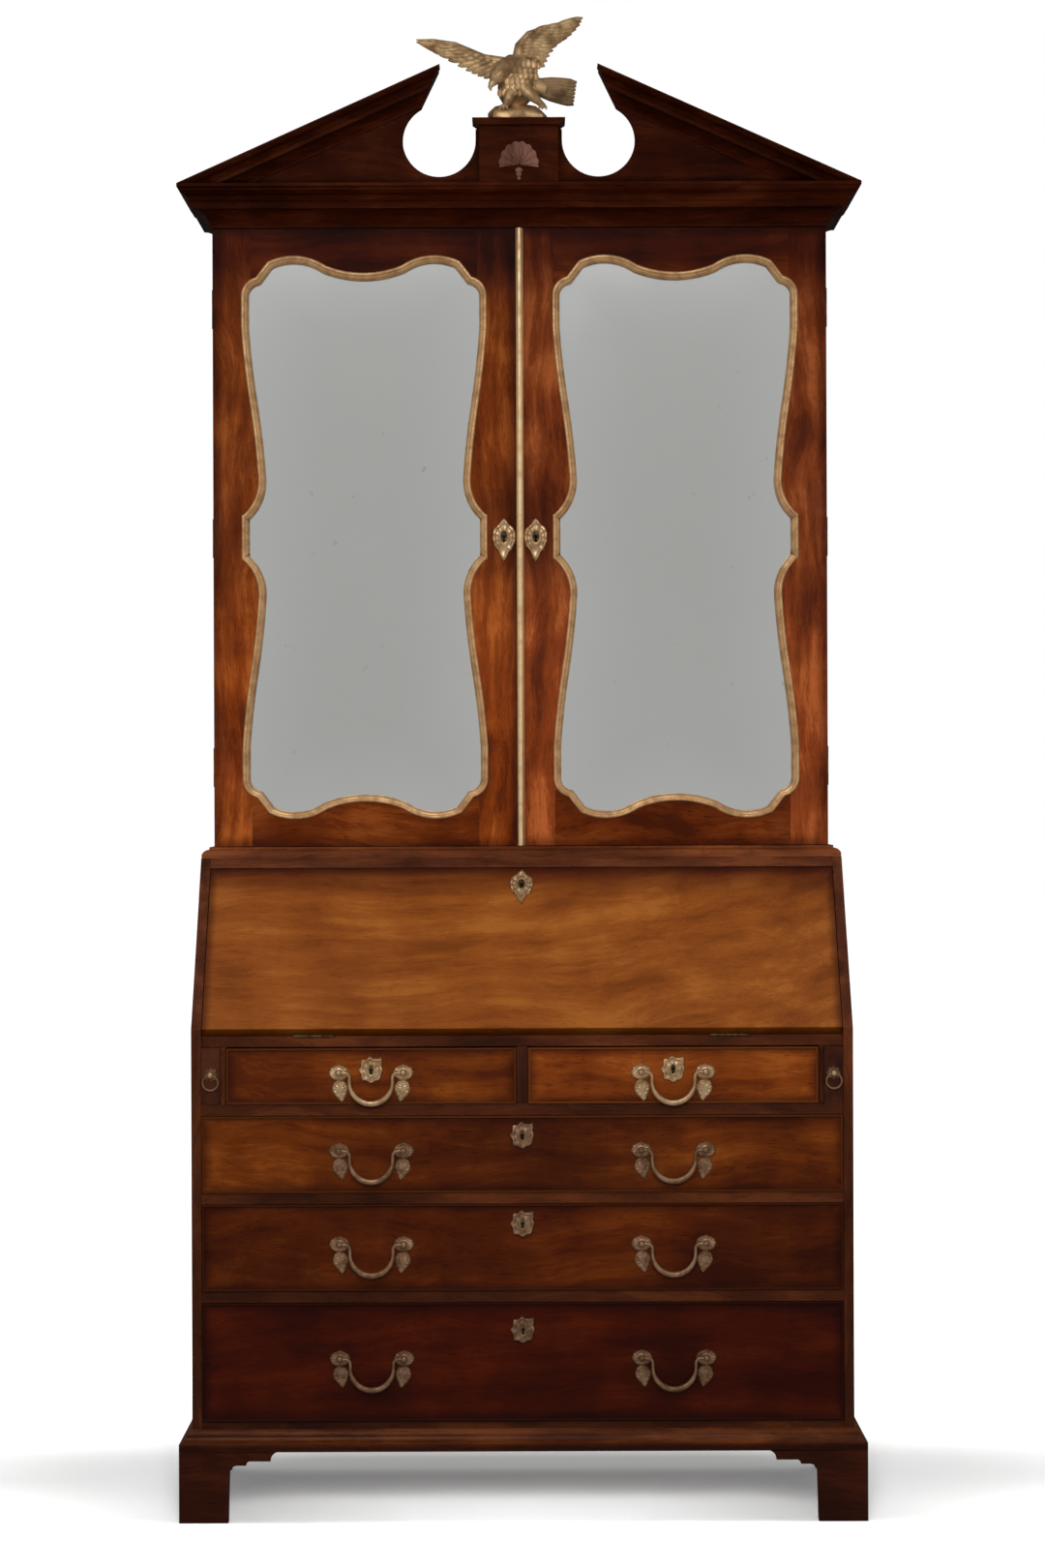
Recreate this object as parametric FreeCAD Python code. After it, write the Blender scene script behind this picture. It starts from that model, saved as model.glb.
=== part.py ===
"""Mahogany bureau cabinet: a slant-front bureau with a mirrored two-door cabinet on it.

Millimetres. X runs to the right, the front faces -Y and Z is up. The origin lies on the
floor, in the middle of the object's width and depth.
"""
import FreeCAD
import Part
import math
import os

# Bureau carcase
BUREAU_WIDTH = 1049.0
BUREAU_DEPTH = 580.0
BUREAU_SIDE = 16.0
BUREAU_BACK = 10.0
BOTTOM_BOARD = 18.0
BOTTOM_REVEAL = 11.5
DUSTBOARD = 18.0
TOP_BOARD = 16.0

# Base moulding and feet
FOOT_HEIGHT = 112.0
FOOT_WIDTH = 80.0
FOOT_SPAN = 155.0
FOOT_TAPER = 2.0
FOOT_BRACKET = 20.0
FOOT_BLOCK = 28.0
FOOT_BLOCK_LIFT = 6.0
BASE_HEIGHT = 34.0
BASE_PROJECTION = 20.0
BASE_FASCIA = 12.0
BASE_STEP = 3.0
BASE_RAIL = 30.0

# Drawer openings, from the floor upwards
OPENING_LOW = 188.0
OPENING_MIDDLE = 138.0
OPENING_UPPER = 122.0
OPENING_SHORT = 90.8
CENTRE_PARTITION = 18.0
LOPER_PARTITION = 9.0

# Drawers
DRAWER_DEPTH = 500.0
DRAWER_FRONT = 20.0
DRAWER_SIDE = 10.0
DRAWER_BOTTOM = 8.0
BOTTOM_RAISE = 3.0
SIDE_DROP = 8.0
BEAD_WIDTH = 3.0
BEAD_PROUD = 2.5
DRAWER_SIDE_GAP = 0.8
RUNNING_GAP = 0.3
DRAWER_TOP_GAP = 0.6
SHORT_TOP_GAP = 2.0

# Fall, writing bed and lopers
LEAF = 17.0
FALL_ANGLE = 46.6
FALL_LENGTH = 344.0
FALL_SIDE_GAP = 1.0
FALL_TOP_GAP = 1.0
FALL_EDGE_GAP = 0.4
LEDGE_DROP = 1.0
LOPER_WIDTH = 30.0
LOPER_LENGTH = 480.0
LOPER_SIDE_GAP = 0.5
LOPER_TOP_GAP = 0.7

# Nest of pigeonholes behind the fall
NEST_SETBACK = 20.0
NEST_PANEL = 8.0
NEST_DRAWER_HEIGHT = 96.0
NEST_CENTRE = 300.0
PIGEONHOLES = 6
SMALL_DRAWER_DEPTH = 240.0
SMALL_DRAWER_BOARD = 7.0
SMALL_DRAWER_GAP = 0.6
SMALL_DRAWER_INSET = 1.0
KNOB_RADIUS = 5.5
KNOB_STEM = 2.8
KNOB_REACH = 13.0

# Cabinet carcase
CABINET_SETBACK = 20.0
CABINET_SIDE = 18.0
CABINET_BOARD = 18.0
CABINET_BACK = 10.0
SHELVES = 3
SHELF = 14.0
SHELF_SETBACK = 8.0
WAIST_HEIGHT = 18.0
WAIST_PROJECTION = 20.0

# Doors
DOOR_SETBACK = 281.0
DOOR_THICKNESS = 22.0
DOOR_HEIGHT = 1015.0
DOOR_CLEARANCE = 1.0
DOOR_HANGING_GAP = 0.4
DOOR_MEETING_GAP = 1.0
ASTRAGAL_WIDTH = 12.5
ASTRAGAL_PROUD = 5.0
STILE = 46.5
DOOR_RAIL = 44.5
DOOR_HINGES = 3
DOOR_HINGE_INSET = 130.0
REBATE_LAP = 12.0
MIRROR_PLATE = 4.0
MIRROR_DIP = 28.0
MIRROR_HUMP = 76.0
MIRROR_SHOULDER = 66.0
MIRROR_WAIST = 27.4
MIRROR_WAIST_RISE = 97.0
MIRROR_NOTCH = 37.0
DOOR_BACK_BOARD = 4.0
SLIP_WIDTH = 12.0
SLIP_PROUD = 1.5

# Butt hinges
HINGE_LENGTH = 64.0
HINGE_LEAF = 14.0
HINGE_THICKNESS = 1.5
HINGE_BARREL = 2.5
HINGE_PIN = 1.2
HINGE_PLAY = 0.08
HINGE_ROOM = 0.4
FALL_HINGE_X = 330.0

# Cornice and pediment
CORNICE_HEIGHT = 68.0
CORNICE_PROJECTION = 55.0
PEDIMENT_SETBACK = 4.0
PEAK_RISE = 193.0
PEAK_X = 129.0
RAKE_HEIGHT = 44.0
KEYHOLE_X = 131.0
KEYHOLE_RISE = 76.0
KEYHOLE_RADIUS = 60.0
KEYHOLE_STEP = 11.0
PLINTH_WIDTH = 130.0
PLINTH_HEIGHT = 94.0
PLINTH_PROJECTION = 40.0
PLINTH_CAP = 12.0
PLINTH_OVERHANG = 11.0
CUT_OVERRUN = 100.0

# Eagle finial
EAGLE_HEIGHT = 174.0
EAGLE_ROCK_DEPTH = 46.0
EAGLE_WING = 9.0

# Brass handles and escutcheons
PLATE = 2.0
PLATE_WIDTH = 32.0
PLATE_UPPER = 13.0
PLATE_WAIST = 12.0
PLATE_LOWER = 46.0
POST_SPAN = 51.0
POST_REACH = 13.0
POST_STEM = 3.6
POST_BALL = 5.5
BAIL_HALF = 34.0
BAIL_DROP = 49.0
BAIL_ROD = 2.2
BAIL_BEND = 8.0
BAIL_END_INSET = 1.0
BAIL_PLAY = 0.1
HANDLE_RISE = 6.0
ESCUTCHEON = 1.5
ESCUTCHEON_WIDTH = 38.0
ESCUTCHEON_HEIGHT = 43.0
TALL_ESCUTCHEON_WIDTH = 36.0
TALL_ESCUTCHEON_UPPER = 30.0
TALL_ESCUTCHEON_LOWER = 42.0
ESCUTCHEON_EDGE = 1.5
FALL_ESCUTCHEON_DROP = 37.5
SHORT_ESCUTCHEON_RISE = 4.0
LONG_ESCUTCHEON_DROP = 31.0
LOW_ESCUTCHEON_DROP = 43.0

# Locks let into the wood behind the escutcheons
LOCK_WIDTH = 56.0
LOCK_HEIGHT = 38.0
LOCK_DEPTH = 9.0
DOOR_LOCK_WIDTH = 25.0
KEY_BORE = 3.5

# Ring pulls of the lopers
RING_RADIUS = 12.0
RING_WIRE = 1.7
RING_POST_REACH = 10.0
RING_BORE = 3.2
RING_POST_RISE = 2.0

# Places worked out from the sizes above
TINY = 1e-6
half_bureau = BUREAU_WIDTH / 2
inner = half_bureau - BUREAU_SIDE
front = (BASE_PROJECTION - BUREAU_DEPTH) / 2
back = front + BUREAU_DEPTH
board_back = back - BUREAU_BACK
outer_half = half_bureau + BASE_PROJECTION
base_front = front - BASE_PROJECTION
base_top = FOOT_HEIGHT + BASE_HEIGHT

floor_low = base_top + BOTTOM_REVEAL
floor_middle = floor_low + OPENING_LOW + DUSTBOARD
floor_upper = floor_middle + OPENING_MIDDLE + DUSTBOARD
floor_short = floor_upper + OPENING_UPPER + DUSTBOARD
bed_under = floor_short + OPENING_SHORT
bed_top = bed_under + LEAF

slope = math.radians(FALL_ANGLE)
slope_z = bed_top + LEAF * math.cos(slope)
fall_hinge_y = front + LEAF * math.sin(slope)
bed_front = fall_hinge_y + FALL_EDGE_GAP
top_under = slope_z + FALL_LENGTH * math.sin(slope) + FALL_TOP_GAP
bureau_top = top_under + TOP_BOARD
nest_front = fall_hinge_y + FALL_LENGTH * math.cos(slope) + NEST_SETBACK
shelf_under = bed_top + NEST_DRAWER_HEIGHT

half_cabinet = half_bureau - CABINET_SETBACK
cabinet_inner = half_cabinet - CABINET_SIDE
cabinet_board_back = back - CABINET_BACK
door_front = front + DOOR_SETBACK
door_back = door_front + DOOR_THICKNESS
cabinet_front = door_back + DOOR_HANGING_GAP
door_hinge_y = door_back + DOOR_HANGING_GAP / 2
cabinet_floor = bureau_top + CABINET_BOARD
door_z0 = bureau_top + WAIST_HEIGHT + DOOR_CLEARANCE
door_z1 = door_z0 + DOOR_HEIGHT
cornice_z = door_z1 + DOOR_CLEARANCE
cornice_top = cornice_z + CORNICE_HEIGHT
meeting_x = -(ASTRAGAL_WIDTH + DOOR_MEETING_GAP) / 2

pediment_front = door_front + PEDIMENT_SETBACK
plinth_front = door_front - PLINTH_PROJECTION
cap_under = cornice_top + PLINTH_HEIGHT
cap_top = cap_under + PLINTH_CAP
peak_z = cornice_top + PEAK_RISE
rake_tip_x = half_cabinet + CORNICE_PROJECTION

short_inner = CENTRE_PARTITION / 2 + DRAWER_SIDE_GAP
short_outer = inner - LOPER_WIDTH - LOPER_PARTITION - DRAWER_SIDE_GAP
handle_x = (short_inner + short_outer) / 2
loper_x = inner - LOPER_WIDTH / 2
ring_post_z = floor_short + OPENING_SHORT / 2 + RING_POST_RISE

V = FreeCAD.Vector
X_AXIS = V(1, 0, 0)
Y_AXIS = V(0, 1, 0)
Z_AXIS = V(0, 0, 1)
nodes = {}


def box(x0, x1, y0, y1, z0, z1):
    """Box between two values on each axis."""
    return Part.makeBox(x1 - x0, y1 - y0, z1 - z0, V(x0, y0, z0))


def prism(points, direction):
    """Straight-sided face through the points, drawn out along a direction."""
    return Part.Face(Part.makePolygon(points + points[:1])).extrude(direction)


def outline(start, steps, place):
    """Closed wire. A step of one point is a line and a step of two points is an arc."""
    edges = []
    here = place(*start)
    for step in steps:
        there = place(*step[-1])
        if len(step) == 1:
            edges.append(Part.LineSegment(here, there).toShape())
        else:
            edges.append(Part.Arc(here, place(*step[0]), there).toShape())
        here = there
    if (here - place(*start)).Length > TINY:
        edges.append(Part.LineSegment(here, place(*start)).toShape())
    return Part.Wire(edges)


def walked_back(start, steps, image):
    """The same steps walked back to the start, with each point replaced by its image."""
    begins = [start] + [step[-1] for step in steps[:-1]]
    return [
        [image(*point) for point in step[:-1]] + [image(*begin)]
        for step, begin in zip(reversed(steps), reversed(begins))]


def across(u, h):
    """Image of a point on the other side of an upright middle line."""
    return -u, h


def below(u, h):
    """Image of a point on the other side of a level middle line."""
    return u, -h


def both_sides(start, steps):
    """Steps of the right half of an outline, followed by the same steps on the left."""
    return steps + walked_back(start, steps, across)


def flip(shape):
    """Mirror image of a shape on the other side of the middle plane."""
    return shape.mirror(V(0, 0, 0), X_AXIS)


def fused(shapes):
    """One solid from shapes that run into each other."""
    return shapes[0].multiFuse(shapes[1:]).removeSplitter()


def put(name, *solids):
    """Keep the solids of a named piece."""
    nodes[name] = Part.makeCompound(list(solids)) if len(solids) > 1 else solids[0]


def mitred_moulding(start, steps, half_width, face_y, base_z, projection):
    """Front strip and two side returns of a moulding, mitred at the front corners."""
    reach = half_width + projection
    nose_y = face_y - projection
    strip = outline(start, steps, lambda p, h: V(-reach, face_y - p, base_z + h))
    strip = Part.Face(strip).extrude(X_AXIS * (2 * reach))
    side = outline(start, steps, lambda p, h: V(half_width + p, nose_y, base_z + h))
    side = Part.Face(side).extrude(Y_AXIS * (back - nose_y))
    height = Z_AXIS * max(step[-1][1] for step in steps)
    corner_in = V(half_width, face_y, base_z)
    corner_out = V(reach, nose_y, base_z)
    strip_plan = [V(-reach, nose_y, base_z), corner_out, corner_in, V(-half_width, face_y, base_z)]
    side_plan = [corner_out, V(reach, back, base_z), V(half_width, back, base_z), corner_in]
    right = side.common(prism(side_plan, height))
    return [strip.common(prism(strip_plan, height)).Solids[0], right.Solids[0], flip(right).Solids[0]]


def hinge_plate(start, direction, inward, axis, length, offset):
    """Flat leaf of a hinge, let into the wood by its own thickness."""
    near = start + inward * offset
    far = near + direction * HINGE_LEAF
    depth = inward * HINGE_THICKNESS
    return prism([near, far, far + depth, near + depth], axis * length)


def butt_hinge(point, axis, fixed, moving, offset):
    """Fixed leaf with its pin, moving leaf, and the pockets that they take in the wood.

    fixed and moving each hold the direction along the leaf and the direction into the wood.
    """
    start = point - axis * (HINGE_LENGTH / 2)
    third = HINGE_LENGTH / 3
    gap = HINGE_PLAY
    room = HINGE_BARREL + HINGE_ROOM
    middle = start + axis * third
    last = start + axis * (2 * third)

    fixed_leaf = hinge_plate(start, *fixed, axis, HINGE_LENGTH, offset)
    fixed_leaf = fixed_leaf.cut(Part.makeCylinder(room, third, middle, axis))
    fixed_leaf = fused([
        fixed_leaf,
        Part.makeCylinder(HINGE_BARREL, third - gap, start, axis),
        Part.makeCylinder(HINGE_BARREL, third - gap, last + axis * gap, axis),
        Part.makeCylinder(HINGE_PIN, HINGE_LENGTH, start, axis),
    ])
    moving_leaf = hinge_plate(start, *moving, axis, HINGE_LENGTH, offset)
    moving_leaf = moving_leaf.cut(Part.makeCylinder(room, third, start, axis))
    moving_leaf = moving_leaf.cut(Part.makeCylinder(room, third, last, axis))
    moving_leaf = fused([
        moving_leaf,
        Part.makeCylinder(HINGE_BARREL, third - 2 * gap, middle + axis * gap, axis),
    ])
    moving_leaf = moving_leaf.cut(Part.makeCylinder(HINGE_PIN + HINGE_PLAY, HINGE_LENGTH, start, axis))

    notch_start = start - axis * HINGE_ROOM
    notch = Part.makeCylinder(room, HINGE_LENGTH + 2 * HINGE_ROOM, notch_start, axis)
    fixed_pocket = [notch, hinge_plate(start, *fixed, axis, HINGE_LENGTH, offset)]
    moving_pocket = [notch, hinge_plate(start, *moving, axis, HINGE_LENGTH, offset)]
    return fixed_leaf, moving_leaf, fixed_pocket, moving_pocket


def slope_y(z):
    """Y of the bureau's slanted front at a height."""
    return front + (z - slope_z) / math.tan(slope)


def side_board(points, x0, thickness):
    """Upright board whose outline is given in Y and Z."""
    return prism([V(x0, y, z) for y, z in points], X_AXIS * thickness)


# Hinges come first, because the boards take their pockets
fixed_leaves = []
door_leaves = {"left": [], "right": []}
door_pockets = {"left": [], "right": []}
cabinet_pockets = {"left": [], "right": []}
for side, sign in (("left", -1), ("right", 1)):
    spread = DOOR_HEIGHT - 2 * DOOR_HINGE_INSET
    for index in range(DOOR_HINGES):
        hinge_z = door_z0 + DOOR_HINGE_INSET + spread * index / (DOOR_HINGES - 1)
        towards = V(-sign, 0, 0)
        leaves = butt_hinge(
            V(sign * half_cabinet, door_hinge_y, hinge_z), Z_AXIS,
            (towards, Y_AXIS), (towards, -Y_AXIS), DOOR_HANGING_GAP / 2)
        fixed_leaves.append(leaves[0])
        door_leaves[side].append(leaves[1])
        cabinet_pockets[side] += leaves[2]
        door_pockets[side] += leaves[3]

along_fall = V(0, math.cos(slope), math.sin(slope))
out_of_fall = V(0, -math.sin(slope), math.cos(slope))
fall_leaves = []
bed_pockets = []
fall_pockets = []
for sign in (-1, 1):
    leaves = butt_hinge(
        V(sign * FALL_HINGE_X, fall_hinge_y, bed_top), X_AXIS,
        (Y_AXIS, -Z_AXIS), (along_fall, out_of_fall), 0.0)
    fixed_leaves.append(leaves[0])
    fall_leaves.append(leaves[1])
    bed_pockets += leaves[2]
    fall_pockets += leaves[3]
put("hinge_leaves_fixed", *fixed_leaves)


# Bureau carcase
bureau_side_points = [
    (front, FOOT_HEIGHT), (front, slope_z), (slope_y(bureau_top), bureau_top),
    (back, bureau_top), (back, FOOT_HEIGHT)]
put("bureau_side_left", side_board(bureau_side_points, -half_bureau, BUREAU_SIDE))
put("bureau_side_right", side_board(bureau_side_points, inner, BUREAU_SIDE))
put("bureau_bottom_board", box(-inner, inner, front, board_back, floor_low - BOTTOM_BOARD, floor_low))
put("bureau_back_boards", box(-inner, inner, board_back, back, FOOT_HEIGHT, bureau_top))
top_points = [
    (slope_y(top_under), top_under), (slope_y(bureau_top), bureau_top),
    (board_back, bureau_top), (board_back, top_under)]
put("bureau_top_board", side_board(top_points, -inner, 2 * inner))
bed = box(-inner, inner, bed_front, board_back, bed_under, bed_top)
put("writing_bed", bed.cut(bed_pockets))
put("dustboards", *[
    box(-inner, inner, front, board_back, z - DUSTBOARD, z)
    for z in (floor_middle, floor_upper, floor_short)])

ledge_z = bed_under - LEDGE_DROP
partition_points = [
    (front, floor_short), (front, ledge_z), (bed_front, ledge_z), (bed_front, bed_under),
    (board_back, bed_under), (board_back, floor_short)]
loper_wall_x = inner - LOPER_WIDTH - LOPER_PARTITION
loper_wall = side_board(partition_points, loper_wall_x, LOPER_PARTITION)
centre_wall = side_board(partition_points, -CENTRE_PARTITION / 2, CENTRE_PARTITION)
put("drawer_partitions", flip(loper_wall), centre_wall, loper_wall)


# Base moulding and feet
base_neck = BASE_PROJECTION - BASE_STEP
base_ogee = BASE_HEIGHT - BASE_FASCIA
base_steps = [
    [(BASE_PROJECTION, 0)], [(BASE_PROJECTION, BASE_FASCIA)], [(base_neck, BASE_FASCIA)],
    [(0.70 * base_neck, BASE_FASCIA + 0.22 * base_ogee), (0.50 * base_neck, BASE_FASCIA + 0.52 * base_ogee)],
    [(0.38 * base_neck, BASE_FASCIA + 0.82 * base_ogee), (0.10 * base_neck, BASE_HEIGHT)],
    [(0, BASE_HEIGHT)]]
base_parts = mitred_moulding((0, 0), base_steps, half_bureau, front, FOOT_HEIGHT, BASE_PROJECTION)
rail_top = floor_low - BOTTOM_BOARD
base_parts.append(box(-inner, inner, front, front + BASE_RAIL, FOOT_HEIGHT, rail_top))
base_parts.append(box(-inner, inner, board_back - BASE_RAIL, board_back, FOOT_HEIGHT, rail_top))
put("base_moulding", *base_parts)

# The bracket's inner edge rises straight, then runs out in two level steps and a cove to the moulding
wing = FOOT_SPAN - FOOT_WIDTH
bracket_steps = [
    [(FOOT_WIDTH - FOOT_TAPER, 0)], [(FOOT_WIDTH, 0.71 * FOOT_HEIGHT)],
    [(FOOT_WIDTH + 0.05 * wing, 0.78 * FOOT_HEIGHT), (FOOT_WIDTH + 0.15 * wing, 0.81 * FOOT_HEIGHT)],
    [(FOOT_WIDTH + 0.35 * wing, 0.81 * FOOT_HEIGHT)],
    [(FOOT_WIDTH + 0.37 * wing, 0.85 * FOOT_HEIGHT), (FOOT_WIDTH + 0.43 * wing, 0.87 * FOOT_HEIGHT)],
    [(FOOT_WIDTH + 0.86 * wing, 0.87 * FOOT_HEIGHT)],
    [(FOOT_WIDTH + 0.90 * wing, 0.95 * FOOT_HEIGHT), (FOOT_SPAN, FOOT_HEIGHT)],
    [(0, FOOT_HEIGHT)]]
block_out = outer_half - FOOT_BRACKET
front_bracket = Part.Face(outline(
    (0, 0), bracket_steps, lambda u, h: V(outer_half - u, base_front, h))).extrude(Y_AXIS * FOOT_BRACKET)
side_bracket = Part.Face(outline(
    (0, 0), bracket_steps, lambda u, h: V(block_out, base_front + u, h))).extrude(X_AXIS * FOOT_BRACKET)
block_y = base_front + FOOT_BRACKET
front_block = box(
    block_out - FOOT_BLOCK, block_out, block_y, block_y + FOOT_BLOCK, FOOT_BLOCK_LIFT, FOOT_HEIGHT)
front_foot = fused([front_bracket, side_bracket, front_block])
put("front_feet", flip(front_foot), front_foot)
rear_bracket = Part.Face(outline(
    (0, 0), bracket_steps, lambda u, h: V(block_out, back - u, h))).extrude(X_AXIS * FOOT_BRACKET)
rear_block = box(block_out - FOOT_BLOCK, block_out, back - FOOT_BLOCK, back, 0, FOOT_HEIGHT)
back_foot = fused([rear_bracket, rear_block])
put("back_feet", flip(back_foot), back_foot)


# Fall
fall_start = V(-inner + FALL_SIDE_GAP, fall_hinge_y, bed_top) + along_fall * FALL_EDGE_GAP
fall_end = fall_start + along_fall * (FALL_LENGTH - FALL_EDGE_GAP)
fall_depth = out_of_fall * LEAF
fall_width = 2 * (inner - FALL_SIDE_GAP)
fall = prism([fall_start, fall_end, fall_end + fall_depth, fall_start + fall_depth], X_AXIS * fall_width)
fall_key = fall_end + fall_depth - along_fall * FALL_ESCUTCHEON_DROP
fall_key.x = 0.0
lock_low = fall_end - along_fall * (FALL_ESCUTCHEON_DROP + LOCK_HEIGHT / 2)
lock_low.x = -LOCK_WIDTH / 2
lock_high = lock_low + along_fall * LOCK_HEIGHT
lock_depth = out_of_fall * LOCK_DEPTH
fall_lock = prism([lock_low, lock_high, lock_high + lock_depth, lock_low + lock_depth], X_AXIS * LOCK_WIDTH)
fall_bore = Part.makeCylinder(KEY_BORE, LEAF, fall_key, -out_of_fall)
put("fall_panel", fall.cut(fall_pockets + [fall_lock, fall_bore]))


# Nest of pigeonholes and its two small drawers
nest_out = inner - NEST_PANEL
shelf_top = shelf_under + NEST_PANEL
nest = [
    box(-inner, -nest_out, nest_front, board_back, bed_top, top_under),
    box(nest_out, inner, nest_front, board_back, bed_top, top_under),
    box(-nest_out, nest_out, nest_front, board_back, shelf_under, shelf_top)]
bay = (2 * nest_out - (PIGEONHOLES - 1) * NEST_PANEL) / PIGEONHOLES
for index in range(1, PIGEONHOLES):
    wall_x = -nest_out + index * (bay + NEST_PANEL) - NEST_PANEL
    nest.append(box(wall_x, wall_x + NEST_PANEL, nest_front, board_back, shelf_top, top_under))
centre_out = NEST_CENTRE / 2 + NEST_PANEL
nest.append(box(-centre_out, -NEST_CENTRE / 2, nest_front, board_back, bed_top, shelf_under))
nest.append(box(NEST_CENTRE / 2, centre_out, nest_front, board_back, bed_top, shelf_under))
put("pigeonhole_nest", *nest)


def drawer_box(x0, x1, face_y, z0, z1, depth, front_board, board, bottom):
    """Sides, back and bottom of a drawer behind its front."""
    box_front = face_y + front_board
    box_back = face_y + depth
    rim = z1 - SIDE_DROP
    floor = z0 + BOTTOM_RAISE
    return [
        box(x0, x0 + board, box_front, box_back, z0, rim),
        box(x1 - board, x1, box_front, box_back, z0, rim),
        box(x0 + board, x1 - board, box_back - board, box_back, z0, rim),
        box(x0 + board, x1 - board, box_front, box_back - board, floor, floor + bottom)]


small_face = nest_front + SMALL_DRAWER_INSET
small_z0 = bed_top + RUNNING_GAP
small_z1 = shelf_under - SMALL_DRAWER_GAP
small_x0 = centre_out + SMALL_DRAWER_GAP
small_x1 = nest_out - SMALL_DRAWER_GAP
for side, sign in (("left", -1), ("right", 1)):
    x0, x1 = sorted((sign * small_x0, sign * small_x1))
    small_front = box(x0, x1, small_face, small_face + SMALL_DRAWER_BOARD, small_z0, small_z1)
    knob_x = (x0 + x1) / 2
    knob_z = (small_z0 + small_z1) / 2
    knob_centre = V(knob_x, small_face - KNOB_REACH + KNOB_RADIUS, knob_z)
    knob = fused([
        Part.makeSphere(KNOB_RADIUS, knob_centre),
        Part.makeCylinder(KNOB_STEM, KNOB_REACH - KNOB_RADIUS, knob_centre, Y_AXIS)])
    rest = drawer_box(
        x0, x1, small_face, small_z0, small_z1, SMALL_DRAWER_DEPTH,
        SMALL_DRAWER_BOARD, SMALL_DRAWER_BOARD, SMALL_DRAWER_BOARD)
    put(f"small_drawer_{side}", small_front, *rest, knob)


# Brass fittings
def ball_post(centre, stem_end, bore):
    """Post that stands out from a face, with a ball at its end bored along X."""
    length = (stem_end - centre).Length
    stem = Part.makeCylinder(POST_STEM, length, centre, Y_AXIS)
    ball = Part.makeSphere(POST_BALL, centre)
    drill_start = centre - X_AXIS * (2 * POST_BALL)
    return fused([stem, ball]).cut(Part.makeCylinder(bore, 4 * POST_BALL, drill_start, X_AXIS))


# Backplate of a handle post: a round boss behind the post, a waist, and a pointed leaf below
plate_w = PLATE_WIDTH / 2
plate_foot = (0.0, -PLATE_LOWER)
plate_leaf = PLATE_LOWER - PLATE_WAIST
plate_steps = both_sides(plate_foot, [
    [(0.50 * plate_w, -PLATE_LOWER + 0.27 * plate_leaf), (0.74 * plate_w, -PLATE_LOWER + 0.66 * plate_leaf)],
    [(0.76 * plate_w, -PLATE_LOWER + 0.84 * plate_leaf), (0.58 * plate_w, -PLATE_WAIST)],
    [(plate_w, 0.0), (0.60 * plate_w, 0.82 * PLATE_UPPER)],
    [(0.31 * plate_w, 0.96 * PLATE_UPPER), (0.0, PLATE_UPPER)]])


def handle_post(x, face_y, z):
    """Backplate and post of one end of a bail."""
    plate = Part.Face(outline(plate_foot, plate_steps, lambda u, h: V(x + u, face_y - PLATE, z + h)))
    plate = plate.extrude(Y_AXIS * PLATE)
    post = ball_post(V(x, face_y - POST_REACH, z), V(x, face_y - PLATE, z), BAIL_ROD + BAIL_PLAY)
    return fused([plate, post])


def bail(x, face_y, z):
    """Swinging bail: a round bar whose two ends turn in the posts."""
    y = face_y - POST_REACH
    end = POST_SPAN + POST_BALL - BAIL_END_INSET
    bend = BAIL_BEND * (1 - math.sqrt(0.5))
    arc_z = BAIL_HALF - BAIL_DROP
    path = [
        Part.LineSegment(V(x - end, y, z), V(x - BAIL_HALF - BAIL_BEND, y, z)).toShape(),
        Part.Arc(V(x - BAIL_HALF - BAIL_BEND, y, z), V(x - BAIL_HALF - bend, y, z - bend),
                 V(x - BAIL_HALF, y, z - BAIL_BEND)).toShape(),
        Part.LineSegment(V(x - BAIL_HALF, y, z - BAIL_BEND), V(x - BAIL_HALF, y, z + arc_z)).toShape(),
        Part.Arc(V(x - BAIL_HALF, y, z + arc_z), V(x, y, z - BAIL_DROP),
                 V(x + BAIL_HALF, y, z + arc_z)).toShape(),
        Part.LineSegment(V(x + BAIL_HALF, y, z + arc_z), V(x + BAIL_HALF, y, z - BAIL_BEND)).toShape(),
        Part.Arc(V(x + BAIL_HALF, y, z - BAIL_BEND), V(x + BAIL_HALF + bend, y, z - bend),
                 V(x + BAIL_HALF + BAIL_BEND, y, z)).toShape(),
        Part.LineSegment(V(x + BAIL_HALF + BAIL_BEND, y, z), V(x + end, y, z)).toShape()]
    section = Part.Wire([Part.makeCircle(BAIL_ROD, V(x - end, y, z), X_AXIS)])
    return Part.Wire(path).makePipeShell([section], True, False)


# Keyhole plate of the drawers: a square with lobed sides and corners
cartouche_w = ESCUTCHEON_WIDTH / 2
cartouche_h = ESCUTCHEON_HEIGHT / 2
cartouche_foot = (0.0, -cartouche_h)
cartouche_steps = both_sides(cartouche_foot, [
    [(0.55 * cartouche_w, -0.86 * cartouche_h), (0.62 * cartouche_w, -0.60 * cartouche_h)],
    [(0.95 * cartouche_w, -0.42 * cartouche_h), (0.80 * cartouche_w, -0.05 * cartouche_h)],
    [(cartouche_w, 0.20 * cartouche_h), (0.86 * cartouche_w, 0.52 * cartouche_h)],
    [(0.66 * cartouche_w, 0.58 * cartouche_h), (0.56 * cartouche_w, 0.78 * cartouche_h)],
    [(0.30 * cartouche_w, 0.84 * cartouche_h), (0.0, cartouche_h)]])

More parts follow.
